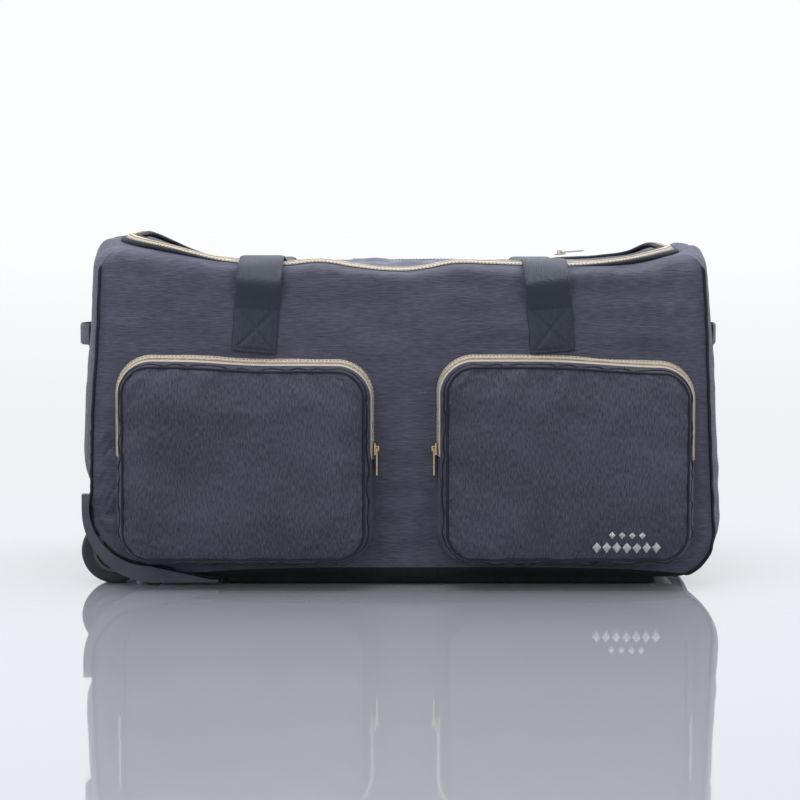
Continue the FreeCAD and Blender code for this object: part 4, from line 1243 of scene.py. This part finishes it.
def make_motif(face):
    """Two rows of embroidered diamonds in a pocket's lower corner, each of slanting satin stitches."""
    skin = face.reshape(-1, 3)

    def on_skin(x, z, lift):
        gap = np.hypot(skin[:, 0] - x, skin[:, 2] - z)
        near = np.argsort(gap)[:6]
        share = 1 / (gap[near] + 1.0)
        return x, np.sum(skin[near, 1] * share) / share.sum() - lift, z

    rib = [(0, 1, 8), (1, 2, 9, 8), (2, 3, 9), (4, 8, 5), (5, 8, 9, 6), (6, 9, 7), (0, 8, 4), (3, 7, 9),
           (0, 4, 5, 1), (1, 5, 6, 2), (2, 6, 7, 3)]
    section = [(side, up, lift) for side in (-0.34, 0.34)
               for up, lift in ((-1, -0.3), (-0.8, 0.8), (0.8, 0.8), (1, -0.3))]
    section += [(0, -0.7, 1.15), (0, 0.7, 1.15)]
    points = []
    for x, z, half_x, half_z in MOTIF:
        for offset in np.arange(-half_x + 0.35, half_x, 0.7):
            reach = half_z * (1 - abs(offset) / half_x) + 0.4
            points += [on_skin(x + offset + side, z + up * reach, lift) for side, up, lift in section]
    faces = shifted(rib, *range(0, len(points), len(section)))
    motif = closed_piece("grip_side_pocket_embroidery", points, faces, WHITE_THREAD, None)
    fold_with_flap(motif)


def make_button_springs():
    """The two coil springs behind the trolley's button, each with its own mesh."""
    low, high = node_box("trolley_button_springs")
    z, radius = (low[2] + high[2]) / 2, (high[2] - low[2]) / 2
    wire = 0.35
    turn = np.linspace(0, 2 * math.pi * 4.5, 150)
    x = np.interp(turn, [0, 4, turn[-1] - 4, turn[-1]],
                  [low[0] + 0.4, low[0] + 0.8, high[0] - 0.8, high[0] - 0.4])
    for n, y in enumerate((low[1] + radius, high[1] - radius)):
        path = joined(x, y + (radius - wire) * np.cos(turn), z + (radius - wire) * np.sin(turn))
        spring = tube(f"trolley_button_spring_{n + 1}", path, wire, "trolley_stage", 8, False, STEEL, "steel")
        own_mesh(spring)
        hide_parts("trolley_button_springs")


make_zip()
make_lid()
make_handles()
make_grab_loops()
make_button_springs()
make_pocket("wheel_side")
make_motif(make_pocket("grip_side"))


# ---- CAD nodes that show ----
# the skid rails get the near-black plastic, painted shade under the bag
NODE_MATERIALS = {"skid_rails": RAIL_PAINTED_SHADE}


def paint_frame():
    """Every visible CAD node gets its slot's detailed material."""
    slots = {part["node"]: part["material_slot"] for part in frame["record"]["subparts"]}
    for name, node in frame["nodes"].items():
        for slot in node.material_slots:
            slot.material = NODE_MATERIALS.get(name, SLOT_MATERIALS[slots[name]])


paint_frame()


# ---- stage ----
def make_stage():
    """A pale polished floor."""
    mesh = bpy.data.meshes.new("floor")
    mesh.from_pydata([(-40, -20, 0), (40, -20, 0), (40, 90, 0), (-40, 90, 0)], [], [(0, 1, 2, 3)])
    floor = placed("floor", mesh)
    s = Shader("pale_floor", Roughness=0.05, Coat_Weight=0.8, Coat_Roughness=0.02,
               Base_Color=(0.49, 0.5, 0.545, 1))
    mesh.materials.append(s.material)


def make_world():
    """Soft light from all round: strongest from above and behind, weaker from in front."""
    world = bpy.data.worlds.new("studio")
    bpy.context.scene.world = world
    world.use_nodes = True
    tree = world.node_tree
    background = tree.nodes["Background"]
    background.inputs["Color"].default_value = (0.965, 0.98, 1.0, 1)
    place = add_node(tree, "ShaderNodeTexCoord", "Generated", {})
    y = add_node(tree, "ShaderNodeSeparateXYZ", "Y", {0: place})
    depth = {"From Min": -0.75, "From Max": 0.15, "To Min": 0.5, "To Max": 1.0, "Value": y}
    strength = add_node(tree, "ShaderNodeMapRange", "Result", depth, interpolation_type="SMOOTHSTEP")
    tree.links.new(strength, background.inputs["Strength"])


def area_light(name, place, aim, size, power, colour=(1, 1, 1)):
    """A softbox that the camera doesn't see; only the top one shows in reflections."""
    light = set_up(bpy.data.lights.new(name, "AREA"), shape="RECTANGLE", energy=power, color=colour,
                   size=size[0], size_y=size[1])
    turn = (Vector(aim) - Vector(place)).to_track_quat("-Z", "Y").to_euler()
    placed(name, light, location=place, rotation_euler=turn, visible_camera=False,
           visible_glossy=name == "top_softbox")


CAMERA_AT = (0.0, -2.71, 0.404)
CAMERA_LENS = 102.4
CAMERA_DOWN = 4.35           # degrees below level


def make_camera():
    """The photo's point of view: straight in front, looking slightly down."""
    camera = set_up(bpy.data.cameras.new("camera"), lens=CAMERA_LENS)
    bpy.context.scene.camera = placed("camera", camera, location=CAMERA_AT,
                                      rotation_euler=(math.radians(90 - CAMERA_DOWN), 0, 0))
    bpy.context.scene.view_settings.view_transform = "Standard"


make_stage()
make_world()
area_light("top_softbox", (0.1, -0.1, 2.0), (0, 0, 0.36), (2.6, 0.9), 29, (0.93, 0.95, 1))
area_light("key_softbox", (-1.8, -2.6, 1.3), (0, 0, 0.2), (1.4, 1.4), 22)
area_light("fill_softbox", (2.0, -2.4, 1.0), (0, 0, 0.2), (1.4, 1.4), 16)
make_camera()
